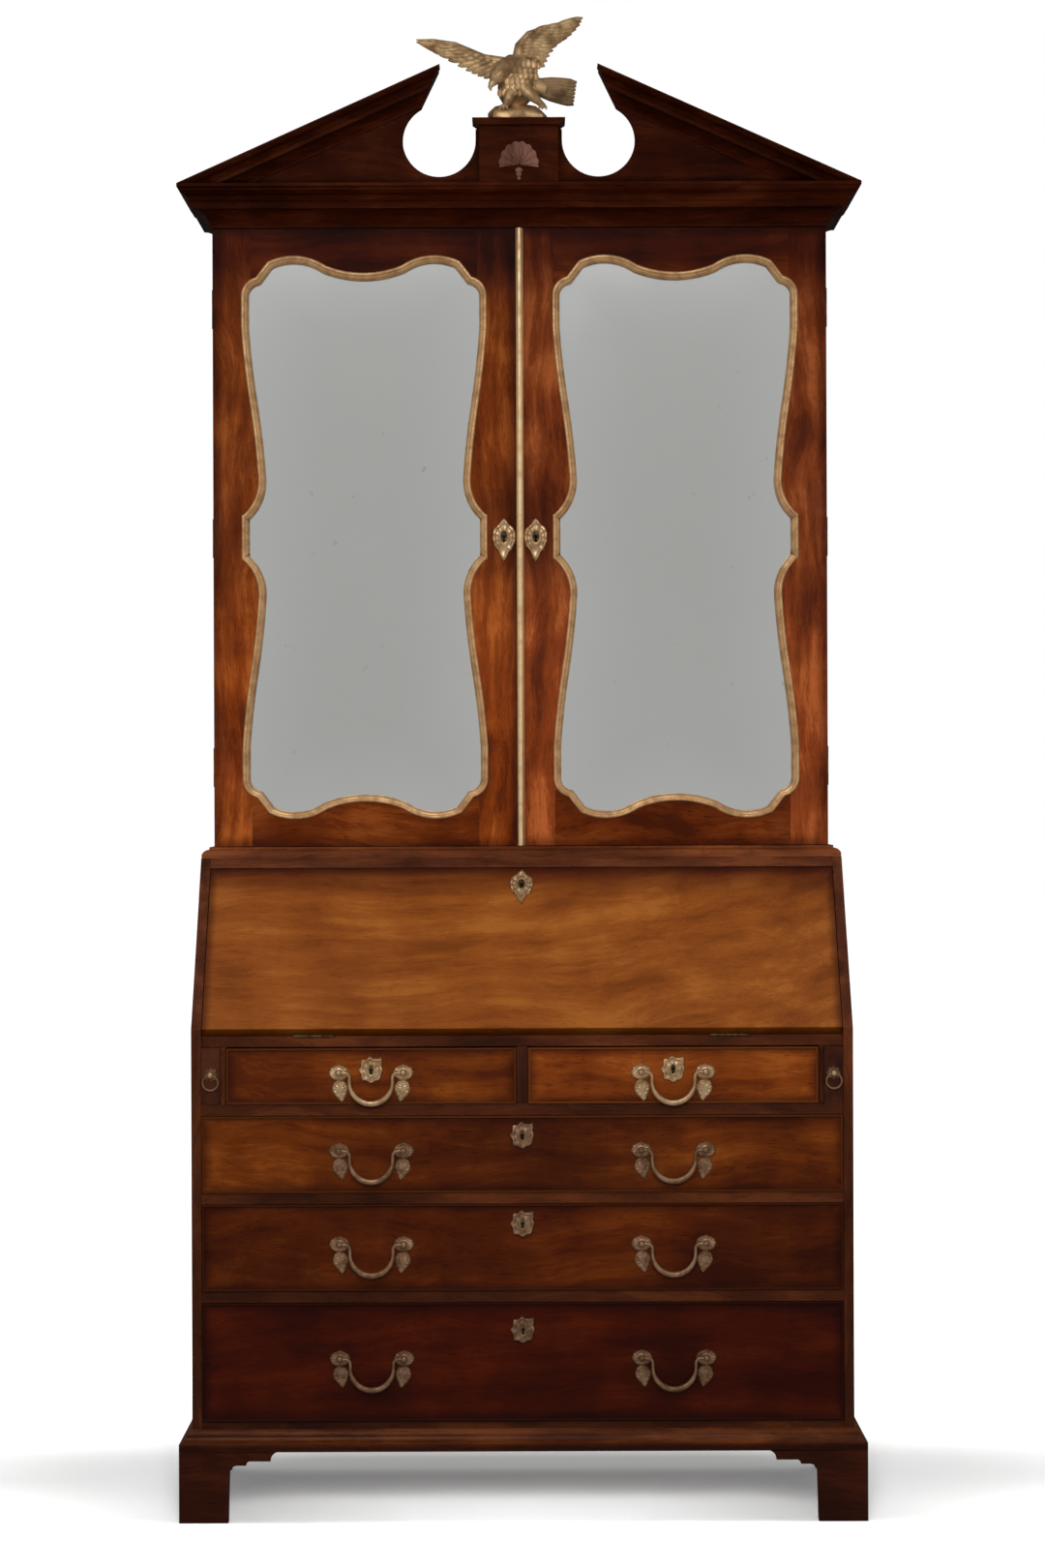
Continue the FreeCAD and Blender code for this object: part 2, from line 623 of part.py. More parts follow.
# Keyhole plate of the fall and the doors: a round middle, a crest above and a pointed drop below
tall_w = TALL_ESCUTCHEON_WIDTH / 2
tall_foot = (0.0, -TALL_ESCUTCHEON_LOWER)
tall_steps = both_sides(tall_foot, [
    [(0.25 * tall_w, -0.71 * TALL_ESCUTCHEON_LOWER), (0.53 * tall_w, -0.52 * TALL_ESCUTCHEON_LOWER)],
    [(0.92 * tall_w, -0.24 * TALL_ESCUTCHEON_LOWER), (tall_w, 0.0)],
    [(0.92 * tall_w, 0.35 * TALL_ESCUTCHEON_UPPER), (0.56 * tall_w, 0.58 * TALL_ESCUTCHEON_UPPER)],
    [(0.33 * tall_w, 0.70 * TALL_ESCUTCHEON_UPPER), (0.0, TALL_ESCUTCHEON_UPPER)]])


def escutcheon(foot, steps, place, outward):
    """Keyhole plate of a given outline. place puts its own X and Z on a surface."""
    plate = Part.Face(outline(foot, steps, place)).extrude(outward * ESCUTCHEON)
    bow = Part.makeCylinder(KEY_BORE, 4 * ESCUTCHEON, place(0, 0) - outward * ESCUTCHEON, outward)
    slot_w = 0.4 * KEY_BORE
    slot_h = -3.0 * KEY_BORE
    slot = prism([place(-slot_w, 0), place(slot_w, 0), place(1.4 * slot_w, slot_h),
                  place(-1.4 * slot_w, slot_h)], outward * ESCUTCHEON)
    return plate.cut([bow, slot])


def key_bore(place, outward, depth):
    """Round way for the key, from the face of the wood to the lock."""
    return Part.makeCylinder(KEY_BORE, depth, place, -outward)


# Five drawers, each with its brasses and bails
def drawer(name, x0, x1, z0, z1, handles, escutcheon_x, escutcheon_z):
    """One drawer: cock-beaded front, box, handle posts, escutcheon and bails."""
    face = box(x0, x1, front, front + DRAWER_FRONT, z0, z1)
    bead = box(x0, x1, front - BEAD_PROUD, front, z0, z1).cut(
        box(x0 + BEAD_WIDTH, x1 - BEAD_WIDTH, front - BEAD_PROUD, front, z0 + BEAD_WIDTH, z1 - BEAD_WIDTH))
    rest = drawer_box(x0, x1, front, z0, z1, DRAWER_DEPTH, DRAWER_FRONT, DRAWER_SIDE, DRAWER_BOTTOM)
    lock = box(
        escutcheon_x - LOCK_WIDTH / 2, escutcheon_x + LOCK_WIDTH / 2,
        front + DRAWER_FRONT - LOCK_DEPTH, front + DRAWER_FRONT,
        escutcheon_z - LOCK_HEIGHT / 2, escutcheon_z + LOCK_HEIGHT / 2)
    bore = key_bore(V(escutcheon_x, front, escutcheon_z), -Y_AXIS, DRAWER_FRONT)
    put(name, fused([face, bead]).cut([lock, bore]), *rest)
    pivot_z = (z0 + z1) / 2 + HANDLE_RISE
    brasses = [lock, escutcheon(
        cartouche_foot, cartouche_steps,
        lambda u, h: V(escutcheon_x + u, front, escutcheon_z + h), -Y_AXIS)]
    for bail_name, x in handles:
        brasses += [handle_post(x - POST_SPAN, front, pivot_z), handle_post(x + POST_SPAN, front, pivot_z)]
        put(bail_name, bail(x, front, pivot_z))
    put(name + "_brasses", *brasses)
    return pivot_z


pivots = {}
short_z0 = floor_short + RUNNING_GAP
short_z1 = bed_under - SHORT_TOP_GAP
for side, sign in (("left", -1), ("right", 1)):
    x0, x1 = sorted((sign * short_inner, sign * short_outer))
    name = f"short_drawer_{side}"
    handle_z = (short_z0 + short_z1) / 2 + HANDLE_RISE
    pivots[name] = drawer(
        name, x0, x1, short_z0, short_z1, [(name + "_bail", sign * handle_x)],
        sign * handle_x, handle_z + SHORT_ESCUTCHEON_RISE)

long_out = inner - DRAWER_SIDE_GAP
long_rows = (
    ("upper", floor_upper, OPENING_UPPER, LONG_ESCUTCHEON_DROP),
    ("middle", floor_middle, OPENING_MIDDLE, LONG_ESCUTCHEON_DROP),
    ("low", floor_low, OPENING_LOW, LOW_ESCUTCHEON_DROP))
for row, floor_z, opening, drop in long_rows:
    name = f"long_drawer_{row}"
    z1 = floor_z + opening - DRAWER_TOP_GAP
    bails = [(f"{name}_bail_left", -handle_x), (f"{name}_bail_right", handle_x)]
    pivots[name] = drawer(name, -long_out, long_out, floor_z + RUNNING_GAP, z1, bails, 0.0, z1 - drop)


# Lopers with their ring pulls
for side, sign in (("left", -1), ("right", 1)):
    x = sign * loper_x
    half = LOPER_WIDTH / 2 - LOPER_SIDE_GAP
    bar = box(x - half, x + half, front, front + LOPER_LENGTH,
              floor_short + RUNNING_GAP, bed_under - LOPER_TOP_GAP)
    centre = V(x, front - RING_POST_REACH, ring_post_z)
    put(f"loper_{side}", bar, ball_post(centre, V(x, front, ring_post_z), RING_BORE))
    put(f"loper_ring_{side}", Part.makeTorus(
        RING_RADIUS, RING_WIRE, centre - Z_AXIS * RING_RADIUS, Y_AXIS))

put("fall_brasses", escutcheon(
    tall_foot, tall_steps,
    lambda u, h: fall_key + X_AXIS * u + along_fall * h, out_of_fall), fall_lock, *fall_leaves)


# Doors
left_free_x = meeting_x - DOOR_MEETING_GAP / 2
right_free_x = meeting_x + DOOR_MEETING_GAP / 2
mirror_x = (half_cabinet - left_free_x) / 2
door_middle_z = (door_z0 + door_z1) / 2
mirror_back = door_back - DOOR_BACK_BOARD - MIRROR_PLATE
half_mirror_h = DOOR_HEIGHT / 2 - DOOR_RAIL


def mirror_outline(half_w, half_h, centre_x, y):
    """Scrolled outline of a mirror: dipped top and bottom, waisted sides, notched middle."""
    start = (half_w - 1.84 * MIRROR_HUMP, half_h - 0.57 * MIRROR_DIP)
    quarter = [
        [(half_w - MIRROR_HUMP, half_h), (half_w - 0.58 * MIRROR_HUMP, half_h - 0.14 * MIRROR_SHOULDER)],
        [(half_w - 0.43 * MIRROR_HUMP, half_h - 0.36 * MIRROR_SHOULDER),
         (half_w - 0.32 * MIRROR_HUMP, half_h - 0.53 * MIRROR_SHOULDER)],
        [(half_w - 0.09 * MIRROR_HUMP, half_h - 0.70 * MIRROR_SHOULDER), (half_w, half_h - MIRROR_SHOULDER)],
        [(half_w, half_h - 1.79 * MIRROR_SHOULDER)],
        [(half_w - 0.18 * MIRROR_WAIST, half_h - 2.65 * MIRROR_SHOULDER),
         (half_w - 0.53 * MIRROR_WAIST, half_h - 3.74 * MIRROR_SHOULDER)],
        [(half_w - 0.82 * MIRROR_WAIST, 1.60 * MIRROR_WAIST_RISE),
         (half_w - MIRROR_WAIST, MIRROR_WAIST_RISE)],
        [(half_w - 0.73 * MIRROR_WAIST, 0.62 * MIRROR_WAIST_RISE),
         (half_w - 0.07 * MIRROR_WAIST, MIRROR_NOTCH)],
        [(half_w, MIRROR_NOTCH)]]
    right = quarter + [[(half_w, -MIRROR_NOTCH)]] + walked_back(start, quarter, below)
    dip = half_h - MIRROR_DIP
    bottom_dip = [[(0.0, -dip), (-start[0], -start[1])]]
    top_dip = [[(0.0, dip), start]]
    return outline(start, right + bottom_dip + walked_back(start, right, across) + top_dip,
                   lambda u, h: V(centre_x + u, y, door_middle_z + h))


def door(side, sign, free_x):
    """One door: frame, back board, mirror plate, gilt slip, escutcheon, lock and hinge leaves."""
    x0, x1 = sorted((sign * half_cabinet, free_x))
    centre_x = sign * mirror_x
    half_w = half_cabinet - mirror_x - STILE
    rebate_w = half_w + REBATE_LAP
    rebate_h = half_mirror_h + REBATE_LAP
    rebate = (centre_x - rebate_w, centre_x + rebate_w)
    rebate_z = (door_middle_z - rebate_h, door_middle_z + rebate_h)
    opening = Part.Face(mirror_outline(half_w, half_mirror_h, centre_x, door_front))
    frame = box(x0, x1, door_front, door_back, door_z0, door_z1)
    rebate_box = box(*rebate, mirror_back, door_back, *rebate_z)
    frame = frame.cut([opening.extrude(Y_AXIS * DOOR_THICKNESS), rebate_box])
    key_x = sign * (max(abs(free_x), ASTRAGAL_WIDTH / 2) + ESCUTCHEON_EDGE + TALL_ESCUTCHEON_WIDTH / 2)
    door_escutcheon = escutcheon(
        tall_foot, tall_steps,
        lambda u, h: V(key_x + u, door_front, door_middle_z + h), -Y_AXIS)
    lock = box(
        key_x - DOOR_LOCK_WIDTH / 2, key_x + DOOR_LOCK_WIDTH / 2, door_back - LOCK_DEPTH, door_back,
        door_middle_z - LOCK_WIDTH / 2, door_middle_z + LOCK_WIDTH / 2)
    bore = key_bore(V(key_x, door_front, door_middle_z), -Y_AXIS, DOOR_THICKNESS)
    frame = frame.cut(door_pockets[side] + [lock, bore])
    plate_back = mirror_back + MIRROR_PLATE
    put(f"{side}_door_frame", frame, box(*rebate, plate_back, door_back, *rebate_z))
    put(f"{side}_door_mirror", box(*rebate, mirror_back, plate_back, *rebate_z))
    slip_front = door_front - SLIP_PROUD
    slip = Part.Face(mirror_outline(half_w, half_mirror_h, centre_x, slip_front))
    sight = Part.Face(mirror_outline(half_w - SLIP_WIDTH, half_mirror_h - SLIP_WIDTH, centre_x, slip_front))
    slip_depth = Y_AXIS * (mirror_back - slip_front)
    put(f"{side}_door_gilt_slip", slip.cut(sight).extrude(slip_depth).Solids[0])
    put(f"{side}_door_brasses", door_escutcheon, lock, *door_leaves[side])


door("left", -1, left_free_x)
door("right", 1, right_free_x)
astragal_steps = [[(ASTRAGAL_WIDTH / 2, ASTRAGAL_PROUD), (ASTRAGAL_WIDTH, 0.0)]]
put("right_door_astragal", Part.Face(outline(
    (0.0, 0.0), astragal_steps,
    lambda u, p: V(right_free_x + u, door_front - p, door_z0))).extrude(Z_AXIS * DOOR_HEIGHT))


# Cabinet carcase
for side, x0 in (("left", -half_cabinet), ("right", cabinet_inner)):
    board = box(x0, x0 + CABINET_SIDE, cabinet_front, back, bureau_top, cornice_top)
    put(f"cabinet_side_{side}", board.cut(cabinet_pockets[side]))
put("cabinet_bottom_board", box(
    -cabinet_inner, cabinet_inner, cabinet_front, cabinet_board_back, bureau_top, cabinet_floor))
put("cabinet_top_board", box(
    -cabinet_inner, cabinet_inner, cabinet_front, cabinet_board_back, cornice_z, cornice_z + CABINET_BOARD))
put("cabinet_back_boards", box(
    -cabinet_inner, cabinet_inner, cabinet_board_back, back, bureau_top, cornice_top))
shelf_pitch = (cornice_z - cabinet_floor) / (SHELVES + 1)
shelf_boards = []
for index in range(1, SHELVES + 1):
    shelf_z = cabinet_floor + index * shelf_pitch
    shelf_boards.append(box(
        -cabinet_inner, cabinet_inner, cabinet_front + SHELF_SETBACK, cabinet_board_back,
        shelf_z - SHELF, shelf_z))
put("cabinet_shelves", *shelf_boards)

waist_steps = [
    [(WAIST_PROJECTION, 0)], [(WAIST_PROJECTION, 0.30 * WAIST_HEIGHT)],
    [(0.80 * WAIST_PROJECTION, 0.62 * WAIST_HEIGHT), (0.40 * WAIST_PROJECTION, 0.78 * WAIST_HEIGHT)],
    [(0.40 * WAIST_PROJECTION, WAIST_HEIGHT)], [(0, WAIST_HEIGHT)]]
waist = mitred_moulding((0, 0), waist_steps, half_cabinet, door_front, bureau_top, WAIST_PROJECTION)
waist.append(box(
    -half_cabinet, half_cabinet, door_front, cabinet_front, bureau_top, bureau_top + WAIST_HEIGHT))
put("waist_moulding", *waist)


# Cornice and pediment
def cornice_steps(projection, height):
    """Cove, corona and cyma of the cornice, in projection and height."""
    return [
        [(0.07 * projection, 0)], [(0.07 * projection, 0.07 * height)],
        [(0.22 * projection, 0.30 * height), (0.52 * projection, 0.42 * height)],
        [(0.60 * projection, 0.42 * height)], [(0.60 * projection, 0.58 * height)],
        [(0.66 * projection, 0.58 * height)],
        [(0.72 * projection, 0.70 * height), (0.80 * projection, 0.76 * height)],
        [(0.92 * projection, 0.82 * height), (0.96 * projection, 0.92 * height)],
        [(projection, 0.92 * height)], [(projection, height)], [(0, height)]]


cornice = mitred_moulding(
    (0, 0), cornice_steps(CORNICE_PROJECTION, CORNICE_HEIGHT),
    half_cabinet, door_front, cornice_z, CORNICE_PROJECTION)
cornice.append(box(-half_cabinet, half_cabinet, door_front, cabinet_front, cornice_z, cornice_top))
put("cornice", *cornice)

# The keyhole is a round hole with a slot that rises to the open peak
key_z = cornice_top + KEYHOLE_RISE
key_in = KEYHOLE_X - KEYHOLE_RADIUS
cut_x = KEYHOLE_X + 0.82 * KEYHOLE_RADIUS
cut_depth = Y_AXIS * (CORNICE_PROJECTION + DOOR_THICKNESS + 2 * CUT_OVERRUN)
cut_y = door_front - CORNICE_PROJECTION - CUT_OVERRUN
cut_top = peak_z + CUT_OVERRUN
slot = prism([V(x, cut_y, z) for x, z in (
    (key_in, key_z), (cut_x, key_z), (cut_x, key_z + KEYHOLE_STEP), (PEAK_X, peak_z),
    (PEAK_X, cut_top), (key_in, cut_top))], cut_depth)
hole = Part.makeCylinder(KEYHOLE_RADIUS, cut_depth.Length, V(KEYHOLE_X, cut_y, key_z), Y_AXIS)
keyhole = slot.fuse(hole)

rake_angle = math.atan2(PEAK_RISE, rake_tip_x - PEAK_X)
board_end_z = cornice_top + (rake_tip_x - half_cabinet) * math.tan(rake_angle)
board_points = [
    (-half_cabinet, cornice_top), (half_cabinet, cornice_top), (half_cabinet, board_end_z),
    (PEAK_X, peak_z), (-PEAK_X, peak_z), (-half_cabinet, board_end_z)]
pediment = prism(
    [V(x, pediment_front, z) for x, z in board_points], Y_AXIS * (cabinet_front - pediment_front))
over_plinth = box(-KEYHOLE_X, KEYHOLE_X, cut_y, cut_y + cut_depth.Length, cap_under, cut_top)
put("pediment_board", pediment.cut([keyhole, flip(keyhole), over_plinth]).Solids[0])

rake_projection = CORNICE_PROJECTION + PEDIMENT_SETBACK
along_rake = V(-math.cos(rake_angle), 0, math.sin(rake_angle))
across_rake = V(math.sin(rake_angle), 0, math.cos(rake_angle))
rake_tip = V(rake_tip_x, pediment_front, cornice_top) - along_rake * CUT_OVERRUN
rake_length = 2 * CUT_OVERRUN + (rake_tip_x - PEAK_X) / math.cos(rake_angle)
rake = Part.Face(outline(
    (0, 0), cornice_steps(rake_projection, RAKE_HEIGHT),
    lambda p, h: rake_tip + across_rake * (h - RAKE_HEIGHT) - Y_AXIS * p)).extrude(along_rake * rake_length)
above_cornice = box(PEAK_X, rake_tip_x, cut_y, cut_y + cut_depth.Length, cornice_top, cut_top)
rake = rake.common(above_cornice).cut(keyhole).Solids[0]
put("raking_cornices", flip(rake), rake)

plinth_half = PLINTH_WIDTH / 2
cap_half = plinth_half + PLINTH_OVERHANG
cap_front = plinth_front - PLINTH_OVERHANG
plinth_body = box(-plinth_half, plinth_half, plinth_front, pediment_front, cornice_top, cap_under)
cap_points = [
    (-cap_half, cap_top), (-cap_half, cap_top - 0.4 * PLINTH_CAP), (-plinth_half, cap_under),
    (plinth_half, cap_under), (cap_half, cap_top - 0.4 * PLINTH_CAP), (cap_half, cap_top)]
plinth_cap = prism([V(x, cap_front, z) for x, z in cap_points], Y_AXIS * (cabinet_front - cap_front))
put("pediment_plinth", plinth_body, plinth_cap)


# Eagle with raised wings on a rock, drawn for a height of one
def ellipsoid(centre, radius, ratio, tilt):
    """Egg-like solid, turned about Y by a tilt in degrees."""
    matrix = FreeCAD.Matrix()
    matrix.scale(ratio, ratio, 1.0)
    solid = Part.makeSphere(radius).transformGeometry(matrix)
    solid.rotate(V(0, 0, 0), Y_AXIS, tilt)
    solid.translate(centre)
    return solid


eagle_y = (cap_front + cabinet_front) / 2


def on_eagle(x, z, y=0.0):
    """Point of the finial from its share of the height."""
    return V(x * EAGLE_HEIGHT, eagle_y + y, cap_top + z * EAGLE_HEIGHT)


def wing_plate(points, sweep):
    """Flat wing of the eagle, swept forward or back at its tip by an angle."""
    plate = prism([on_eagle(x, z, -EAGLE_WING / 2) for x, z in points], Y_AXIS * EAGLE_WING)
    plate.rotate(on_eagle(0.0, 0.5), Z_AXIS, sweep)
    return plate


left_wing = wing_plate([
    (-0.05, 0.42), (-0.27, 0.36), (-0.52, 0.48), (-0.72, 0.60), (-0.97, 0.74), (-0.98, 0.79),
    (-0.60, 0.74), (-0.33, 0.60), (-0.10, 0.56)], 6.0)
right_wing = wing_plate([
    (0.00, 0.45), (0.26, 0.50), (0.30, 0.62), (0.38, 0.73), (0.50, 0.80), (0.60, 0.92),
    (0.62, 1.00), (0.30, 0.90), (0.10, 0.84), (-0.02, 0.68)], -6.0)
tail = prism([on_eagle(x, z, -EAGLE_WING) for x, z in (
    (0.15, 0.42), (0.56, 0.37), (0.53, 0.13), (0.18, 0.22))], Y_AXIS * (2 * EAGLE_WING))
rock = prism([on_eagle(x, z, -EAGLE_ROCK_DEPTH / 2) for x, z in (
    (-0.27, 0.0), (0.27, 0.0), (0.27, 0.10), (0.20, 0.14), (-0.16, 0.17), (-0.24, 0.20), (-0.27, 0.10))],
    Y_AXIS * EAGLE_ROCK_DEPTH)
breast = ellipsoid(on_eagle(0.0, 0.36), 0.25 * EAGLE_HEIGHT, 0.62, 20.0)
head = ellipsoid(on_eagle(-0.17, 0.42, -0.06 * EAGLE_HEIGHT), 0.085 * EAGLE_HEIGHT, 0.9, 0.0)
beak = Part.makeCone(
    0.04 * EAGLE_HEIGHT, 0.01 * EAGLE_HEIGHT, 0.09 * EAGLE_HEIGHT,
    on_eagle(-0.20, 0.41, -0.07 * EAGLE_HEIGHT), V(-0.8, -0.3, -0.5))
put("eagle_finial", fused([rock, breast, left_wing, right_wing, tail, head, beak]))


os.makedirs("parts", exist_ok=True)
for name, shape in nodes.items():
    shape.exportStep(os.path.join("parts", name + ".step"))
print(len(nodes), "nodes,", sum(len(shape.Solids) for shape in nodes.values()), "solids")
for name, shape in nodes.items():
    if not shape.isValid() or any(solid.Volume <= 0 for solid in shape.Solids) or not shape.Solids:
        print("check", name, shape.isValid(), [round(solid.Volume, 1) for solid in shape.Solids])
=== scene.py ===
"""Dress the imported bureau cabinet: timber, brass, gilding, old mirror glass, light and camera.

Everything is in metres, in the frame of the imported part: X to the right, front at -Y, Z up.
"""

from __future__ import annotations

import functools
import logging
import math
from dataclasses import dataclass, field
from enum import Enum
from typing import Callable, Sequence

import bmesh
import bpy
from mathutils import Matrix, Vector, noise


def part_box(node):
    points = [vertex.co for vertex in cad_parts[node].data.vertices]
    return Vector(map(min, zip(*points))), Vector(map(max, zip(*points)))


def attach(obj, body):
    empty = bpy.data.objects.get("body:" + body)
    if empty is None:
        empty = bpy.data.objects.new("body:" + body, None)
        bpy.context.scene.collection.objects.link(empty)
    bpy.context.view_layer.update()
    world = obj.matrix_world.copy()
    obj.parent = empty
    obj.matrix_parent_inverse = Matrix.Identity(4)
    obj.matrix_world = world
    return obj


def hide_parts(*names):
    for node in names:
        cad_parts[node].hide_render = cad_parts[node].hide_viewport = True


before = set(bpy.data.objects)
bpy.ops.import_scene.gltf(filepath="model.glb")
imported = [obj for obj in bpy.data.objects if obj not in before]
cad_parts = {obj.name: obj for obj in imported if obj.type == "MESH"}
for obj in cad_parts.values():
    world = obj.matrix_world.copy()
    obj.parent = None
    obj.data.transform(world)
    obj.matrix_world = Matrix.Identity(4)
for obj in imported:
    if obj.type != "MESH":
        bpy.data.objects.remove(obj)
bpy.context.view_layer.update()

log = logging.getLogger("bureau_cabinet")
MM = 0.001
CREASE = math.radians(38.0)
ARRIS = 0.7 * MM
FINE_ARRIS = 0.3 * MM
ARRIS_ANGLE = math.radians(40.0)
SAME_POINT = 0.005 * MM
BUMP_STRENGTH = 0.35
WHITE = (1.0, 1.0, 1.0, 1.0)

Triple = tuple[float, float, float]
Colour = Triple
Flat = tuple[float, float]
Box = tuple[Vector, Vector]
Place = Callable[[float, float, float], Vector]
Object = bpy.types.Object
Material = bpy.types.Material
NodeTree = bpy.types.NodeTree


class Grain(Enum):
    """How often the figure repeats along X, Y and Z for each way the fibres may run."""

    ALONG_X = (2.4, 26.0, 26.0)
    ALONG_Y = (26.0, 2.4, 26.0)
    ALONG_Z = (26.0, 26.0, 2.4)
    FIGURED_Z = (46.0, 46.0, 4.6)


class Side(Enum):
    """The two sides of the cabinet, as seen from the front."""

    LEFT = "left"
    RIGHT = "right"


class Slot(Enum):
    """The record's material slots."""

    MAHOGANY = "mahogany"
    BRASS = "brass"
    GILDING = "gilding"


class Signal:
    """Output of a shader node, on which sums are written as on numbers."""

    def __init__(self, tree: ShaderTree, socket: bpy.types.NodeSocket) -> None:
        """Keep the output and the tree that it belongs to."""
        self.tree = tree
        self.socket = socket

    def _join(self, operation: str, first: object, second: object) -> Signal:
        """Result of a sum on two numbers or on two vectors."""
        kind = "Math" if self.socket.type == "VALUE" else "VectorMath"
        return self.tree.out(kind, {0: first, 1: second}, operation=operation)

    def op(self, operation: str, other: object = 0.0) -> Signal:
        """Result of any of the math nodes' operations, by its name."""
        return self._join(operation, self, other)

    def __add__(self, other: object) -> Signal:
        """This and another."""
        return self._join("ADD", self, other)

    def __sub__(self, other: object) -> Signal:
        """This less another."""
        return self._join("SUBTRACT", self, other)

    def __rsub__(self, other: object) -> Signal:
        """Another less this."""
        return self._join("SUBTRACT", other, self)

    def __mul__(self, other: object) -> Signal:
        """This times another."""
        return self._join("MULTIPLY", self, other)

    def __truediv__(self, other: object) -> Signal:
        """This divided by another."""
        return self._join("DIVIDE", self, other)


class ShaderTree:
    """Adds and links the nodes of one shader tree."""

    def __init__(self, tree: NodeTree) -> None:
        """Keep the tree that the nodes go into."""
        self.tree = tree

    def feed(self, target: bpy.types.NodeSocket, value: object) -> None:
        """Link a signal to an input, or set the input's own value.

        Args:
            target: The input socket.
            value: A signal, a number, a colour or a vector.
        """
        if isinstance(value, Signal):
            self.tree.links.new(value.socket, target)
        elif isinstance(value, tuple) and len(value) == 3 and target.type == "RGBA":
            target.default_value = (*value, 1.0)
        else:
            target.default_value = value

    def add(self, kind: str, inputs: dict, **settings: object) -> bpy.types.Node:
        """Add one node.

        Args:
            kind: The node's type, without its ShaderNode prefix.
            inputs: A value or a signal for each input, by name or number.
            settings: Properties of the node itself.

        Returns:
            The new node.
        """
        node = self.tree.nodes.new("ShaderNode" + kind)
        for name, value in settings.items():
            setattr(node, name, value)
        for name, value in inputs.items():
            self.feed(node.inputs[name], value)
        return node

    def out(self, kind: str, inputs: dict, output: int | str = 0, **settings: object) -> Signal:
        """One output of a new node."""
        return Signal(self, self.add(kind, inputs, **settings).outputs[output])

    def use(self, effect: NodeTree, values: dict[str, object]) -> dict[str, Signal]:
        """Outputs of a shared effect, by name."""
        node = self.add("Group", values, node_tree=effect)
        return {socket.name: Signal(self, socket) for socket in node.outputs}

    def ramp(self, value: object, low: object, high: object) -> Signal:
        """A value from 0 to 1 as another goes smoothly from low to high."""
        inputs = {"Value": value, "From Min": low, "From Max": high}
        return self.out("MapRange", inputs, "Result", interpolation_type="SMOOTHSTEP")

    def blend(self, share: object, first: object, second: object, kind: str = "MIX") -> Signal:
        """First colour, mixed with the second or multiplied by it over a share of the surface."""
        return self.out("Mix", {0: share, 6: first, 7: second}, 2, data_type="RGBA", blend_type=kind)

    def between(self, share: object, first: object, second: object) -> Signal:
        """Number between two numbers."""
        return self.out("Mix", {0: share, 2: first, 3: second}, data_type="FLOAT")

    def place(self) -> Signal:
        """The point of the surface, in the piece's own frame."""
        return self.out("TexCoord", {}, "Object")

    def axes(self, vector: object) -> tuple[Signal, ...]:
        """X, Y and Z of a vector."""
        return tuple(Signal(self, socket) for socket in self.add("SeparateXYZ", {0: vector}).outputs)

    def vector(self, x: object, y: object, z: object) -> Signal:
        """Vector of three numbers."""
        return self.out("CombineXYZ", {0: x, 1: y, 2: z})

    def reach(self, vector: object) -> Signal:
        """Length of a vector."""
        return self.out("VectorMath", {0: vector}, "Value", operation="LENGTH")

    def cloud(self, point: object, scale: object, detail: float, roughness: float = 0.55) -> Signal:
        """Soft noise between 0 and 1 at a point."""
        return self.out(
            "TexNoise", {"Vector": point, "Scale": scale, "Detail": detail, "Roughness": roughness})


class EffectGroup(ShaderTree):
    """A shader node group with named sockets, which several materials share."""

    def __init__(self, name: str, inputs: dict[str, object], outputs: dict[str, str]) -> None:
        """Start the group.

        Args:
            name: The group's name.
            inputs: First value of each input: a number, a vector of three or a colour of four.
            outputs: Float or Color for each output.
        """
        super().__init__(bpy.data.node_groups.new(name, "ShaderNodeTree"))
        sockets = self.tree.interface
        for label, value in inputs.items():
            kind = "Float" if isinstance(value, float) else "Vector" if len(value) == 3 else "Color"
            socket = sockets.new_socket(label, in_out="INPUT", socket_type="NodeSocket" + kind)
            socket.default_value = value
        for label, kind in outputs.items():
            sockets.new_socket(label, in_out="OUTPUT", socket_type="NodeSocket" + kind)
        start = self.tree.nodes.new("NodeGroupInput")
        self.ask = {label: Signal(self, start.outputs[label]) for label in inputs}
        self.end = self.tree.nodes.new("NodeGroupOutput")

    def give(self, **values: Signal) -> NodeTree:
        """Feed the group's outputs, which finishes it.

        Args:
            values: The signal of each output, by name.

        Returns:
            The group.
        """
        for label, value in values.items():
            self.feed(self.end.inputs[label], value)
        return self.tree


